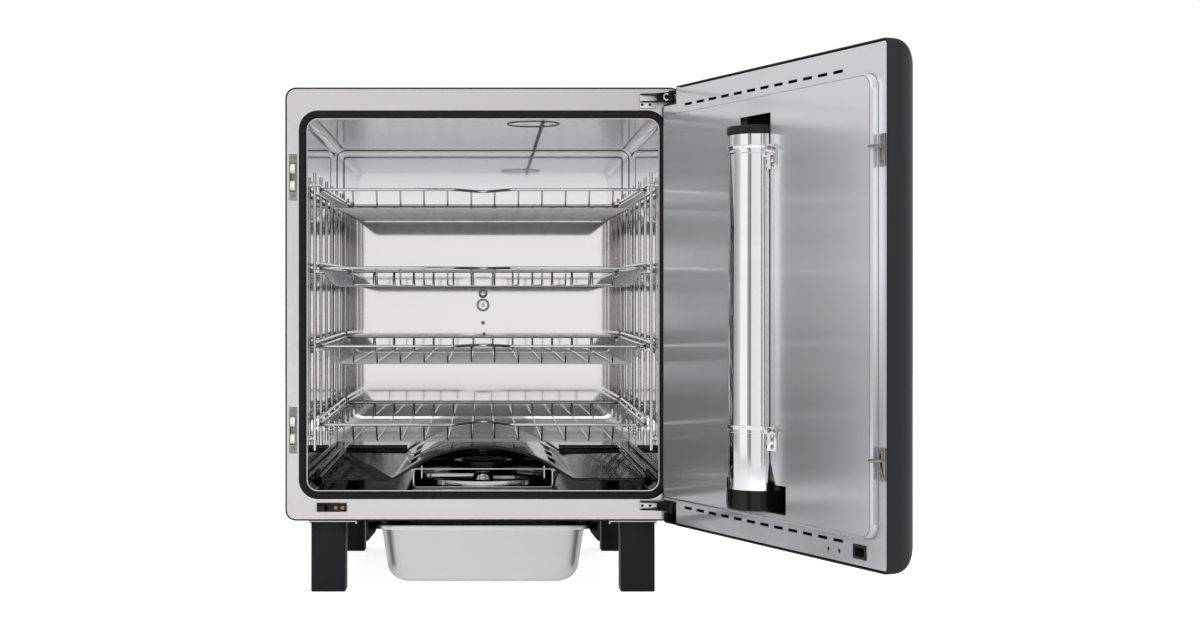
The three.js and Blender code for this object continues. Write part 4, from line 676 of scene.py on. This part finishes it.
class SMOKER_OT_stage(bpy.types.Operator):
    """Make the floor, the light and the camera."""

    bl_idname = "smoker.stage"
    bl_label = "Stage"

    def execute(self, context):
        sizes = context.scene.smoker_sizes
        self.camera(context, sizes)
        self.floor()
        self.lamps(context)
        self.world(context)
        context.scene.view_settings.view_transform = "Standard"
        return {"FINISHED"}

    def camera(self, context, sizes):
        data = bpy.data.cameras.new("camera")
        data.sensor_width = 36
        data.lens = sizes.focal_length
        data.shift_x = 117 / 1200
        data.shift_y = -10 / 1200
        data.clip_start = 0.05
        made = bpy.data.objects.new("camera", data)
        context.scene.collection.objects.link(made)
        made.location = ORIGIN + Vector((0, -sizes.camera_distance, sizes.camera_height))
        made.rotation_euler = (math.pi / 2, 0, 0)
        context.scene.camera = made

    def floor(self):
        bm = bmesh.new()
        bm.faces.new([bm.verts.new((x, y, 0)) for x, y in ((-6, -5), (6, -5), (6, 7), (-6, 7))])
        made = object_from("floor", bm)
        material, finish = new_finish("floor_paper")
        mirrored = finish.ray("Glossy")
        sheet = finish.mixed(finish.noise(40), linear((236, 236, 236)), linear((240, 240, 240)))
        sheet = finish.mixed(mirrored, sheet, linear((228, 228, 230)))
        paper = finish.node("ShaderNodeBsdfPrincipled", None, {"Base Color": sheet, "Roughness": 0.9})
        glow = finish.node("ShaderNodeEmission", None, {"Color": (1, 1, 1, 1), "Strength": 0.75})
        lit = finish.node("ShaderNodeAddShader", None, {0: paper, 1: glow})
        share = finish.ray("Camera") + mirrored * 0.3
        chosen = finish.node("ShaderNodeMixShader", None, {0: share, 1: paper, 2: lit})
        finish.node("ShaderNodeOutputMaterial", None, {"Surface": chosen})
        made.data.materials.append(material)

    def lamps(self, context):
        plan = (
            ("key", (-1.5, -2.6, 2.6), 1.6, 1.2, 36.0),
            ("fill", (1.9, -2.4, 1.7), 1.4, 1.4, 20.0),
            ("low", (0.1, -2.9, 0.9), 2.2, 0.8, 12.0),
            ("rear", (0.3, 2.6, 2.3), 1.8, 1.0, 22.0),
        )
        target = ORIGIN + Vector((0.0, 0.2, 0.32))
        for name, place, width, height, power in plan:
            data = bpy.data.lights.new(name, "AREA")
            data.shape = "RECTANGLE"
            data.size, data.size_y, data.energy = width, height, power
            made = bpy.data.objects.new(name, data)
            context.scene.collection.objects.link(made)
            made.location = ORIGIN + Vector(place)
            made.rotation_euler = (target - made.location).to_track_quat("-Z", "Y").to_euler()
            made.visible_glossy = False

    def world(self, context):
        world = bpy.data.worlds.new("studio")
        context.scene.world = world
        world.use_nodes = True
        finish = Finish(world.node_tree)
        plain = 0.55
        direct = finish.ray("Camera") + finish.ray("Transmission")
        glow = direct * (1 - plain) + finish.ray("Glossy") * (self.studio(finish) - plain) + plain
        light = finish.node("ShaderNodeBackground", None, {"Color": (1, 1, 1, 1), "Strength": glow})
        finish.node("ShaderNodeOutputWorld", None, {"Surface": light})

    @staticmethod
    def studio(finish):
        """What metal shows of the studio: bright all round, with darker gaps between its screens."""
        towards = finish.spot("Generated")
        across = finish.split(towards, "X")
        turn = across.maths("ARCTAN2", across, finish.split(towards, "Y") * -1) * (0.5 / math.pi) + 0.5
        # Shares of a full turn, from straight behind by the left, the front and the right.
        screens = [(0.0, 0.6), (0.15, 0.6), (0.194, 0.36), (0.243, 0.55), (0.27, 0.7), (0.283, 1.0), (0.362, 1.0)]
        screens += [(0.369, 0.38), (0.387, 0.38), (0.392, 0.15), (0.403, 0.2), (0.411, 0.84), (0.519, 0.9)]
        screens += [(0.523, 0.12), (0.532, 0.12), (0.537, 0.95), (0.546, 0.95), (0.551, 0.24), (0.566, 0.22)]
        screens += [(0.588, 0.6), (0.598, 0.3), (0.61, 0.3), (0.622, 1.0), (0.7, 1.0), (0.72, 0.5), (0.76, 1.0)]
        screens += [(1.0, 0.6)]
        return finish.banded(turn, screens)


class SMOKER_OT_cabinet(bpy.types.Operator):
    """Finish the cabinet's sheets: wrap, face frame, liner, back and what is behind them."""

    bl_idname = "smoker.cabinet"
    bl_label = "Cabinet sheets"

    def execute(self, context):
        rework("outer_wrap", "cabinet", "paint", 0.3)
        rework("front_frame", "cabinet", "face_steel", 0.2, 60)
        rework("back_panel", "cabinet", "paint", 0.2, 900)
        self.liner()
        rework("drip_chute", "cabinet", "steel", 0.2)
        rework("power_inlet", "cabinet", "black_plastic", 0.3)
        keep("insulation", "wool")
        keep("control_board", "board")
        self.ceiling()
        self.inlet_pins()
        self.back_screws()
        return {"FINISHED"}

    def liner(self):
        """The welded inner box, with its rear edges rounded."""
        rear = 9

        def ring(inset, y):
            return standing(CAVITY_SIZE, inset, 12 - min(inset, 8), CAVITY_MIDDLE, y)

        rings = [ring(-1, 1.8), ring(-0.2, 1.6), ring(0, 2.2)]
        for angle in quarter(8):
            rings.append(ring(rear * (1 - math.cos(angle)), CAVITY_BACK - rear * (1 - math.sin(angle))))
        made = loft("liner_sheet", rings, caps="last", degrees=50)
        made.data.flip_normals()
        flattened(thickened(made, 0.9, -1, 50), 5000)
        settle(made, "cabinet", "polished", ("cavity_liner",))
        self.rear_seam(ring, rear)

    @staticmethod
    def rear_seam(ring, rear):
        """The welded flange round the back wall, with a fine dark line of painted shade along either side."""
        face = CAVITY_BACK - rear
        # The two dark wires are painted shade along the flange's edges; their finish also colours the ceiling
        # sensor tube.
        for name, inset in (("liner_seam_side", 0.35), ("liner_seam_rear", rear)):
            settle(wires(name, [ring(inset, face)], 0.5, True, 2), "cabinet", "seam")
        spots = ((0.3, face), (rear - 0.3, face), (rear, face + 0.3), (rear, face + 1.2), (0.3, face + 1.2))
        flange = loft("liner_flange", [ring(inset, y) for inset, y in spots], closed=True, degrees=20)
        settle(flange, "cabinet", "polished")

    def ceiling(self):
        """A dark ring of painted shade where the round pressing's outline shows in the ceiling."""
        ring = [(60 + 31 * math.cos(a), 57 + 34 * math.sin(a), CAVITY_TOP - 0.2) for a in round_angles(48)]
        settle(wires("ceiling_pressing", [ring], 0.7, True, 2), "cabinet", "seam")

    def inlet_pins(self):
        for i, (x, z) in enumerate(((-5.5, 2.5), (5.5, 2.5), (0, -2.5))):
            pin = slab("inlet_pin_%d" % (i + 1), (159 + x, 161 + x), (482, 489.5), (122.5 + z, 127.5 + z), 0.3)
            settle(pin, "cabinet", "brass")

    def back_screws(self):
        spots = [(x, z) for x in (-212, 0, 212) for z in (102, 570)] + [(-212, 336), (212, 336)]
        for i, (x, z) in enumerate(spots):
            screw("back_screw_%d" % (i + 1), (x, 490.1, z), (0, 1, 0), 3.6, "cabinet")


class SMOKER_OT_gasket(bpy.types.Operator):
    """Make the door gasket: a hollow rubber bulb with a lip, carried round the cavity's mouth."""

    bl_idname = "smoker.gasket"
    bl_label = "Door gasket"

    def execute(self, context):
        section = [(-4.5, 0.3), (4.5, 0.3), (4.5, 1.1), (3.6, 1.6), (3.9, 2.4), (3.0, 3.3), (1.6, 3.8), (0, 3.95)]
        section += [(-1.5, 3.8), (-2.9, 3.2), (-3.7, 2.3), (-3.6, 1.5), (-4.5, 1.1)]
        out_of_mouth = 1.2 + 4.5
        rings = [standing(CAVITY_SIZE, -out_of_mouth - a, 18 + a, CAVITY_MIDDLE, -b, 10) for a, b in section]
        made = loft("gasket_bulb", rings, closed=True, degrees=50)
        settle(made, "cabinet", "rubber", ("door_gasket",))
        return {"FINISHED"}


class SMOKER_OT_baskets(bpy.types.Operator):
    """Make the four wire baskets, with rounded bends and their bowed front rim."""

    bl_idname = "smoker.baskets"
    bl_label = "Wire baskets"

    def execute(self, context):
        sizes = context.scene.smoker_sizes
        for i, rim in enumerate(BASKET_HEIGHTS):
            self.basket("basket_%d" % (i + 1), rim, sizes)
        return {"FINISHED"}

    @staticmethod
    def rise(y):
        """How much higher the rim is at y than at the front."""
        return BASKET_LEAN * (y - BASKET_FRONT)

    @staticmethod
    def front(x):
        """Where the rim's front lies at x: it bows back round the feeder's tube."""
        share = min(abs(x) / BOW_HALF, 1)
        return BASKET_FRONT + BOW_DEPTH * (1 + math.cos(math.pi * share)) / 2

    def basket(self, node, rim, sizes):
        half, corner, bend = 191.4, 14, 7
        loop = [(x, self.front(x)) for x in [BOW_HALF * (i / 12 - 1) for i in range(25)]]
        near, far = BASKET_FRONT + corner, BASKET_BACK - corner
        for turn, (side, cb) in enumerate(((1, near), (1, far), (-1, far), (-1, near))):
            for i in range(7):
                angle = math.pi / 2 * (turn - 1 + i / 6)
                loop.append((side * (half - corner) + corner * math.cos(angle), cb + corner * math.sin(angle)))
        edge = wires("rim", [[(x, y, rim + self.rise(y)) for x, y in loop]], sizes.rim_wire / MM, True, 4)
        low = rim - 19.5
        paths = []
        for i in range(12):
            x = (i - 5.5) * 27.7
            near = self.front(x)
            front = [(x, near, rim + self.rise(near)), (x, near + 15, low + self.rise(near))]
            back = [(x, BASKET_BACK - 15, low + 3.6), (x, BASKET_BACK, rim + 3.6)]
            paths.append(filleted(front + back, bend))
        across = []
        for i in range(sizes.cross_wires):
            y = 37 + (415 - 37) * i / (sizes.cross_wires - 1)
            spots = ((-half, rim), (16 - half, low - 1.8), (half - 16, low - 1.8), (half, rim))
            across.append(filleted([(x, y, z + self.rise(y)) for x, z in spots], bend))
        mesh = wires("mesh", paths, sizes.mesh_wire / MM, resolution=2)
        settle(wires(node + "_cross", across, sizes.cross_wire / MM, resolution=2), node, "dull_wire")
        made = joined(node + "_wires", edge, mesh, degrees=50)
        settle(made, node, "wire", (node,))


class SMOKER_OT_supports(bpy.types.Operator):
    """Make the welded wire frames that the baskets slide in, with their wall studs."""

    bl_idname = "smoker.supports"
    bl_label = "Basket supports"

    def execute(self, context):
        for side, name in ((-1, "rack_support_left"), (1, "rack_support_right")):
            self.support(side, name)
        return {"FINISHED"}

    def support(self, side, node):
        x = side * SUPPORT_X
        inner = side * (SUPPORT_X - 3.6)
        paths = [[(x, 15 + 83 * i, 165), (x, 15 + 83 * i, 490)] for i in range(6)]
        for rim in BASKET_HEIGHTS:
            for offset in (-3.95, 5.65):
                paths.append([(inner, y, rim + offset + SMOKER_OT_baskets.rise(y)) for y in (11, 434)])
        frame_wires = wires("frame", paths, 2.0)
        studs = []
        profile = [(0, 0), (3.4, 0), (3.6, 0.4), (3.6, 3.4), (2.2, 4.2), (2.2, 6.8), (0, 6.8)]
        for y in (15, 430):
            for z in (179, 476):
                stud = turned("stud", profile, axis="X", sides=20, closed=False)
                stud.matrix_world = Matrix.Translation((side * 203.6, y, z)) @ Matrix.Scale(-side, 4, (1, 0, 0))
                bpy.context.view_layer.update()
                studs.append(stud)
        made = joined(node + "_wires", frame_wires, *studs, degrees=50)
        settle(made, "cabinet", "wire", (node,))


class SMOKER_OT_burner(bpy.types.Operator):
    """Make what stands on the cavity's floor: deflector, heaters, burner, guard and puck arm."""

    bl_idname = "smoker.burner"
    bl_label = "Burner and deflector"

    def execute(self, context):
        self.deflector()
        rework("burner_guard", "cabinet", "mirror_steel", 0.2)
        self.heaters()
        self.pan()
        self.plate()
        self.arm()
        return {"FINISHED"}

    def deflector(self):
        """The arched sheet, its rear lip kept low."""
        lip_top, lip_start, arch_half = 137, 427, 106
        made = worked("deflector", 0.25)
        for vert in made.data.vertices:
            spot = (vert.co - ORIGIN) / MM
            if spot.z > lip_top and spot.y > lip_start and abs(spot.x) > arch_half:
                vert.co.z = ORIGIN.z + lip_top * MM
        settle(made, "cabinet", "enamel", ("deflector",), drawn=False)

    def heaters(self):
        for side, node in ((-1, "heater_left"), (1, "heater_right")):
            x = side * SUPPORT_X
            bend = [(x, 65 - 5 * math.sin(a), 131 - 5 * math.cos(a)) for a in round_angles(24)[:13]]
            rod = wires(node + "_rod", [[(x, 467, 126), *bend, (x, 467, 136)]], 3.2, resolution=4)
            settle(rod, "cabinet", "rod", (node,))

    def pan(self):
        floor = 119.8
        profile = [(0, 0), (82.5, 0), (84, 1.5), (84, 21.4), (83.7, 22), (83.1, 22), (82.8, 21.4), (82.8, 2.4)]
        profile += [(81.8, 1.2), (0, 1.2)]
        tub = turned("burner_pan_tub", profile, (0, 115, floor), sides=72, closed=False)
        cut(tub, slab("window", (-90, 90), (20, 76), (floor + 7, 160)))
        stem = [(0, 120.2), (3, 120.2), (3, 133), (2.4, 133.8), (0, 133.8)]
        spindle = turned("spindle", stem, (0, 70, 0), sides=24, closed=False)
        made = joined("burner_pan_bowl", tub, spindle)
        settle(made, "cabinet", "mirror_steel", ("burner_pan",))

    def plate(self):
        profile = [(0, 121.3), (9, 121.3), (9, 137), (35, 137), (36, 137.6), (36, 142.4), (35.4, 143), (0, 143)]
        disc = turned("disc", profile, (0, 150, 0), sides=56, closed=False)
        turns, steps = 3.25, 130
        path = []
        for i in range(steps + 1):
            angle = 2 * math.pi * turns * (i / steps)
            radius = 8 + 23 * (i / steps)
            path.append((radius * math.cos(angle), 150 + radius * math.sin(angle), 143.6))
        coil = wires("coil", [path], 1.35)
        made = joined("burner_plate_coil", disc, coil)
        settle(made, "cabinet", "rod", ("burner_plate",))

    def arm(self):
        rework("puck_arm", "puck_arm", "mirror_steel", 0.4)
        profile = [(0, 134.6), (3.3, 134.6), (3.1, 135.4), (0, 135.7)]
        cap = turned("hub_cap", profile, (0, 70, 0), sides=24, closed=False)
        settle(cap, "cabinet", "nickel", name="puck_arm_clip")


class SMOKER_OT_probes(bpy.types.Operator):
    """Make the temperature probe, the ceiling sensor and the screws on the back wall."""

    bl_idname = "smoker.probes"
    bl_label = "Probes"

    def execute(self, context):
        wall = CAVITY_BACK - 0.3
        centre = (0, wall, PROBE_HEIGHT)
        profile = [(0, 0), (8.6, 0), (9, -0.5), (9, -4.8), (8.4, -5.8), (7.4, -5.8), (7, -4.9), (6.7, -3), (0, -3)]
        boss = turned("boss", profile, centre, "Y", 48, False)
        profile = [(0, -3.2), (2.5, -3.2), (2.5, -28), (1.6, -29.6), (0, -30)]
        rod = turned("rod", profile, centre, "Y", 24, False)
        stem = turned("stem", [(0, 0), (4, 0), (4, 18), (0, 18)], centre, "Y", 24, False)
        made = joined("temperature_probe_head", boss, rod, stem)
        settle(made, "cabinet", "chrome", ("temperature_probe",))
        for name, radius, thin, front in (("outer", 8.3, 0.7, wall - 5.6), ("inner", 6.2, 0.3, wall - 3.4)):
            ring = [(radius * math.cos(a), front, PROBE_HEIGHT + radius * math.sin(a)) for a in round_angles(48)]
            settle(wires("probe_ring_" + name, [ring], thin, True, 2), "cabinet", "enamel")
        dome = [(0, 0), (6.4, 0), (6.2, -1.6), (4.6, -3.4), (2.2, -4.2), (0, -4.3)]
        settle(turned("probe_clip", dome, (0, wall, 351), "Y", 32, False), "cabinet", "chrome")
        screw("probe_screw_upper", (0, wall, 310), (0, -1, 0), 2.6, "cabinet")
        screw("probe_screw_lower", (1.5, wall, 294.5), (0, -1, 0), 2.2, "cabinet")
        sensor = wires("sensor_tube", [[(71, 8, 547.3), (71, 452.6, 547.3)]], 1.2)
        clips = [slab("clip", (69.6, 72.4), (y - 2.5, y + 2.5), (547.3, 550.6), 0.3) for y in (123, 236.5, 350)]
        made = joined("ceiling_sensor_tube", sensor, *clips)
        settle(made, "cabinet", "seam", ("ceiling_sensor",))
        return {"FINISHED"}


class SMOKER_OT_catches(bpy.types.Operator):
    """Finish the roller catches, the interlock and the strikes, with their screws."""

    bl_idname = "smoker.catches"
    bl_label = "Catches and interlock"

    def execute(self, context):
        for place, z in zip(("upper", "lower"), CATCH_HEIGHTS):
            pair = (("a", 1), ("b", -1))
            rework("catch_" + place, "cabinet", "nickel", 0.2)
            for letter, side in pair:
                spot = (CATCH_X, -1.3, z + side * 22)
                screw("catch_%s_screw_%s" % (place, letter), spot, (0, -1, 0), 2.3, "cabinet")
            for letter, side in pair:
                self.roller("roller_%s_%s" % (place, letter), z + side * 10)
            rework("strike_" + place, "door", "nickel", 0.2)
            for letter, side in pair:
                spot = (CATCH_X - 2.2, DOOR_INSIDE + 1.3, z - 3.5 + side * 11.5)
                screw("strike_%s_screw_%s" % (place, letter), spot, (0, 1, 0), 2.1, "door")
        rework("latch_body", "cabinet", "black_plastic", 0.3)
        for i, x in enumerate((-171, -163)):
            screw("latch_screw_%d" % (i + 1), (x, -4, 99.7), (0, -1, 0), 2.3, "cabinet", "brass")
        rework("latch_hook", "latch_hook", "black_plastic", 0.2)
        rework("latch_socket", "door", "black_plastic", 0.3)
        return {"FINISHED"}

    def roller(self, node, z):
        profile = [(1.6, -2.7), (5.6, -2.7), (6, -2.3), (6, -0.5), (5.7, -0.2), (5.7, 0.2), (6, 0.5), (6, 2.3)]
        profile += [(5.6, 2.7), (1.6, 2.7)]
        made = turned(node + "_wheel", profile, (CATCH_X, -0.5, z), "X", 32)
        settle(made, node, "ivory", (node,))


class SMOKER_OT_hinges(bpy.types.Operator):
    """Finish the hinge arms and the pockets in the door's corners."""

    bl_idname = "smoker.hinges"
    bl_label = "Hinges"

    def execute(self, context):
        for place, height, foot in (("upper", 567.6, (563.9, 580.4)), ("lower", 102, (96.9, 107.1))):
            # The arms are steel channels; the black paint finish on them is painted shade for their dark channels.
            rework("hinge_arm_" + place, "cabinet", "black", 0.3)
            plate = slab("foot", (181.9, 202.1), (-3.1, -2.85), foot, 0.1)
            settle(plate, "cabinet", "face_steel", name="hinge_%s_foot" % place)
            if place == "upper":
                self.curl()
            rework("hinge_pocket_" + place, "door", "black_plastic", 0.3)
            if place == "lower":
                self.pocket_end()
            for i, x in enumerate((185, 194)):
                name = "hinge_%s_screw_%d" % (place, i + 1)
                screw(name, (x, -3.0, height), (0, -1, 0), 1.7, "cabinet", "black")
        return {"FINISHED"}

    def pocket_end(self):
        """The end wall and the sill of the lower pocket."""
        end = slab("end", (226.3, 227.8), (-32.3, -12.5), (84.9, 94.8), 0.2)
        sill = slab("sill", (197.8, 227), (-32.3, -12.6), (83.4, 85), 0.2)
        settle(joined("hinge_pocket_end", end, sill), "door", "black_plastic")

    def curl(self):
        """The bright curled end of the upper arm's leaf."""
        turn = [math.radians(50 + 26 * i) for i in range(11)]
        path = [(211.5 + 3 * math.cos(a), -21.5, 574.6 + 3.6 * math.sin(a)) for a in turn]
        settle(wires("hinge_curl", [path], 0.9), "cabinet", "chrome", name="hinge_upper_curl")


class SMOKER_OT_stand(bpy.types.Operator):
    """Finish the legs, their rails, the pan runners and the drip pan."""

    bl_idname = "smoker.stand"
    bl_label = "Stand and drip pan"

    def execute(self, context):
        for node in ("leg_front_left", "leg_front_right", "leg_rear_left", "leg_rear_right"):
            rework(node, "cabinet", "black", 0.4)
        for side in ("left", "right"):
            rework("leg_rail_" + side, "cabinet", "face_steel", 0.2)
            rework("pan_runner_" + side, "cabinet", "black", 0.3)
        self.pan()
        return {"FINISHED"}

    def pan(self):
        """The pressed pan: rim, wall, rounded floor edge and floor, given the sheet's thickness."""
        spots = [(0.0, 34, 72.2), (0.0, 34, 75.9), (0.45, 33.6, 77.0), (1.6, 33, 77.5), (9.0, 27, 77.5)]
        spots += [(10.6, 25.5, 77.2), (11.9, 24.5, 75.6)]
        for angle in quarter(6):
            out = 1 - math.cos(angle)
            spots.append((19 + 24 * out, max(24 - 18 * out, 7), 30 - 23 * math.sin(angle)))
        rings = []
        for inset, corner, z in spots:
            loop = rounded_loop(265 - 2 * inset, 325 - 2 * inset, corner, 0, 172.5, 8)
            rings.append([(a, b, z) for a, b in loop])
        made = thickened(loft("pressing", rings, caps="last"), 0.8, 0, 40)
        settle(made, "drip_pan", "satin_steel", ("drip_pan",), name="drip_pan_pressing")


class SMOKER_OT_door(bpy.types.Operator):
    """Make the door: its pressed shell, the embossed inner panel, the handle and the control window."""

    bl_idname = "smoker.door"
    bl_label = "Door"

    def execute(self, context):
        self.shell()
        rework("door_inner_panel", "door", "door_steel", 0.4, 60)
        # Two grey wires along the emboss's base and its edge are painted shade lines.
        for name, inset, y in (("base", -0.3, DOOR_INSIDE + 0.1), ("edge", 2.3, EMBOSS_FACE - 0.2)):
            loop = standing(EMBOSS_SIZE, inset, EMBOSS_CORNER - inset, EMBOSS_MIDDLE, y, 8)
            line = wires("panel_line_" + name, [loop], 0.32, True, 2)
            settle(line, "door", "crease")
        keep("door_insulation", "wool")
        self.handle()
        self.window()
        return {"FINISHED"}

    def ring(self, inset, y):
        return standing(DOOR_SIZE, inset, 5 + 0.25 * inset, DOOR_MIDDLE, y, 8)

    def shell(self):
        """The shell: a rounded outside and an inside, joined round the door's inner edge, with two notches."""
        fillet, sheet = 36, 1.5
        rings = [self.ring(0.4, DOOR_INSIDE), self.ring(0, DOOR_INSIDE - 0.4)]
        for angle in quarter(12):
            rings.append(self.ring(fillet * (1 - math.cos(angle)), DOOR_OUTSIDE + fillet * (1 - math.sin(angle))))
        inner = [self.ring(sheet, DOOR_INSIDE)]
        for angle in quarter(5):
            inset = sheet + (fillet - sheet) * (1 - math.cos(angle))
            inner.append(self.ring(inset, DOOR_OUTSIDE + fillet - (fillet - sheet) * math.sin(angle)))
        made = loft("door_skin", rings[::-1] + inner, degrees=30)
        notches = [slab("notch", (196.2, 250), (-32.9, 10), heights) for heights in ((564.7, 600), (70, 109.8))]
        cut(made, *notches, degrees=30)
        settle(made, "door", "paint", ("door_shell",))

    def handle(self):
        out = DOOR_FRONT - 26.7
        low, high = 215, 455
        x = -150
        path = filleted([(x, DOOR_FRONT, low), (x, out, low), (x, out, high), (x, DOOR_FRONT, high)], 16, 8)
        parts = [wires("grip", [path], 7, resolution=6)]
        collar = [(7.2, 0), (10.5, 0), (10.5, -1.6), (9.6, -2.6), (7.2, -2.6)]
        parts += [turned("collar", collar, (x, DOOR_FRONT, z), "Y", 36) for z in (low, high)]
        made = joined("door_handle_bar", *parts, degrees=40)
        settle(made, "door", "steel", ("door_handle",))

    def window(self):
        rings = [
            standing((170, 48), inset, 6 - inset, 520, DOOR_FRONT - proud)
            for inset, proud in ((0.0, 0.0), (0.0, 1.0), (0.5, 1.5))
        ]
        made = loft("control_window", rings)
        settle(made, "door", "glass", ("control_panel",))


class SMOKER_OT_feeder(bpy.types.Operator):
    """Make the puck feeder on the door: trough, tube, foot, cap and clamps."""

    bl_idname = "smoker.feeder"
    bl_label = "Puck feeder"

    def execute(self, context):
        rework("feeder_trough", "door", "enamel", 0.2)
        self.tube()
        self.foot()
        self.cap()
        for place, z in (("upper", 496.3), ("lower", 206.5)):
            self.clamp(place, z)
        return {"FINISHED"}

    def tube(self):
        low, high = 125.6, 518
        profile = [(28.8, low), (30, low), (30, high - 0.6), (29.7, high), (29.1, high), (28.8, high - 0.6)]
        made = turned("feeder_tube_body", profile, (*TUBE, 0), sides=72)
        settle(made, "door", "chrome", ("feeder_tube",))

    def foot(self):
        profile = [(0, 0), (30.9, 0), (31.5, 0.6), (31.5, 4), (31.2, 5), (31.2, 20), (31, 21.2), (30.5, 21.2)]
        profile += [(30.4, 3), (0, 3)]
        made = turned("feeder_foot", profile, (*TUBE, 122.3), sides=64, closed=False)
        settle(made, "door", "enamel", ("feeder_base",))

    def cap(self):
        profile = [(0, -2.7), (30.4, -2.7), (30.4, -8.6), (31.1, -8.6), (31.5, -8.1), (31.5, -1.4), (30.9, -0.4)]
        profile += [(29.6, 0), (12, 0), (11, -0.6), (0, -0.6)]
        made = turned("feeder_lid", profile, (*TUBE, 521), sides=64, closed=False)
        settle(made, "feeder_cap", "black_plastic", ("feeder_cap",))

    def clamp(self, place, z):
        node = "clamp_" + place
        half = [(31.15, 2.4), (31.5, 2.9), (31.5, 3.6), (31.2, 4), (30.3, 4)]
        hoop = turned("hoop", [(r, -h) for r, h in half[::-1]] + half, (*TUBE, z), sides=64)
        root = TUBE[0] - 29.5
        ear = slab("ear", (root - 16, root + 1), (EMBOSS_FACE + 0.3, EMBOSS_FACE + 1.8), (z - 21.6, z + 4), 0.5)
        lug = slab("lug", (root - 9, root - 2), (EMBOSS_FACE + 1.7, EMBOSS_FACE + 9), (z - 4, z + 4), 0.8)
        cut(lug, turned("bore", [(0, -10), (30.4, -10), (30.4, 10), (0, 10)], (*TUBE, z), sides=64, closed=False))
        made = joined(node + "_band", hoop, ear, lug)
        settle(made, "door", "chrome", (node,))
        for letter, drop in (("a", 9.5), ("b", 17)):
            spot = (root - 9, EMBOSS_FACE + 1.8, z - drop)
            screw(node + "_ear_screw_" + letter, spot, (0, 1, 0), 2.3, "door")
        screw(node + "_lug_screw", (root - 9, EMBOSS_FACE + 5.5, z), (-1, 0, 0), 2.6, "door")


OPERATORS = (
    SMOKER_OT_stage,
    SMOKER_OT_cabinet,
    SMOKER_OT_gasket,
    SMOKER_OT_baskets,
    SMOKER_OT_supports,
    SMOKER_OT_burner,
    SMOKER_OT_probes,
    SMOKER_OT_catches,
    SMOKER_OT_hinges,
    SMOKER_OT_stand,
    SMOKER_OT_door,
    SMOKER_OT_feeder,
)


class SMOKER_PT_panel(bpy.types.Panel):
    """Lists the smoker's pieces, sizes and colours."""

    bl_idname = "SMOKER_PT_panel"
    bl_label = "Cabinet smoker"
    bl_space_type = "VIEW_3D"
    bl_region_type = "UI"
    bl_category = "Smoker"

    def draw(self, context):
        for group in (context.scene.smoker_sizes, context.scene.smoker_colours):
            box = self.layout.box()
            for key in group.__annotations__:
                box.prop(group, key)
        for operator in OPERATORS:
            self.layout.operator(operator.bl_idname)


CLASSES = (SmokerSizes, SmokerColours, *OPERATORS, SMOKER_PT_panel)


def register():
    for made in CLASSES:
        bpy.utils.register_class(made)
    bpy.types.Scene.smoker_sizes = bpy.props.PointerProperty(type=SmokerSizes)
    bpy.types.Scene.smoker_colours = bpy.props.PointerProperty(type=SmokerColours)


def unregister():
    del bpy.types.Scene.smoker_colours
    del bpy.types.Scene.smoker_sizes
    for made in reversed(CLASSES):
        bpy.utils.unregister_class(made)


def main():
    register()
    for operator in OPERATORS:
        getattr(bpy.ops.smoker, operator.bl_idname.split(".")[1])()


if __name__ == "__main__":
    main()
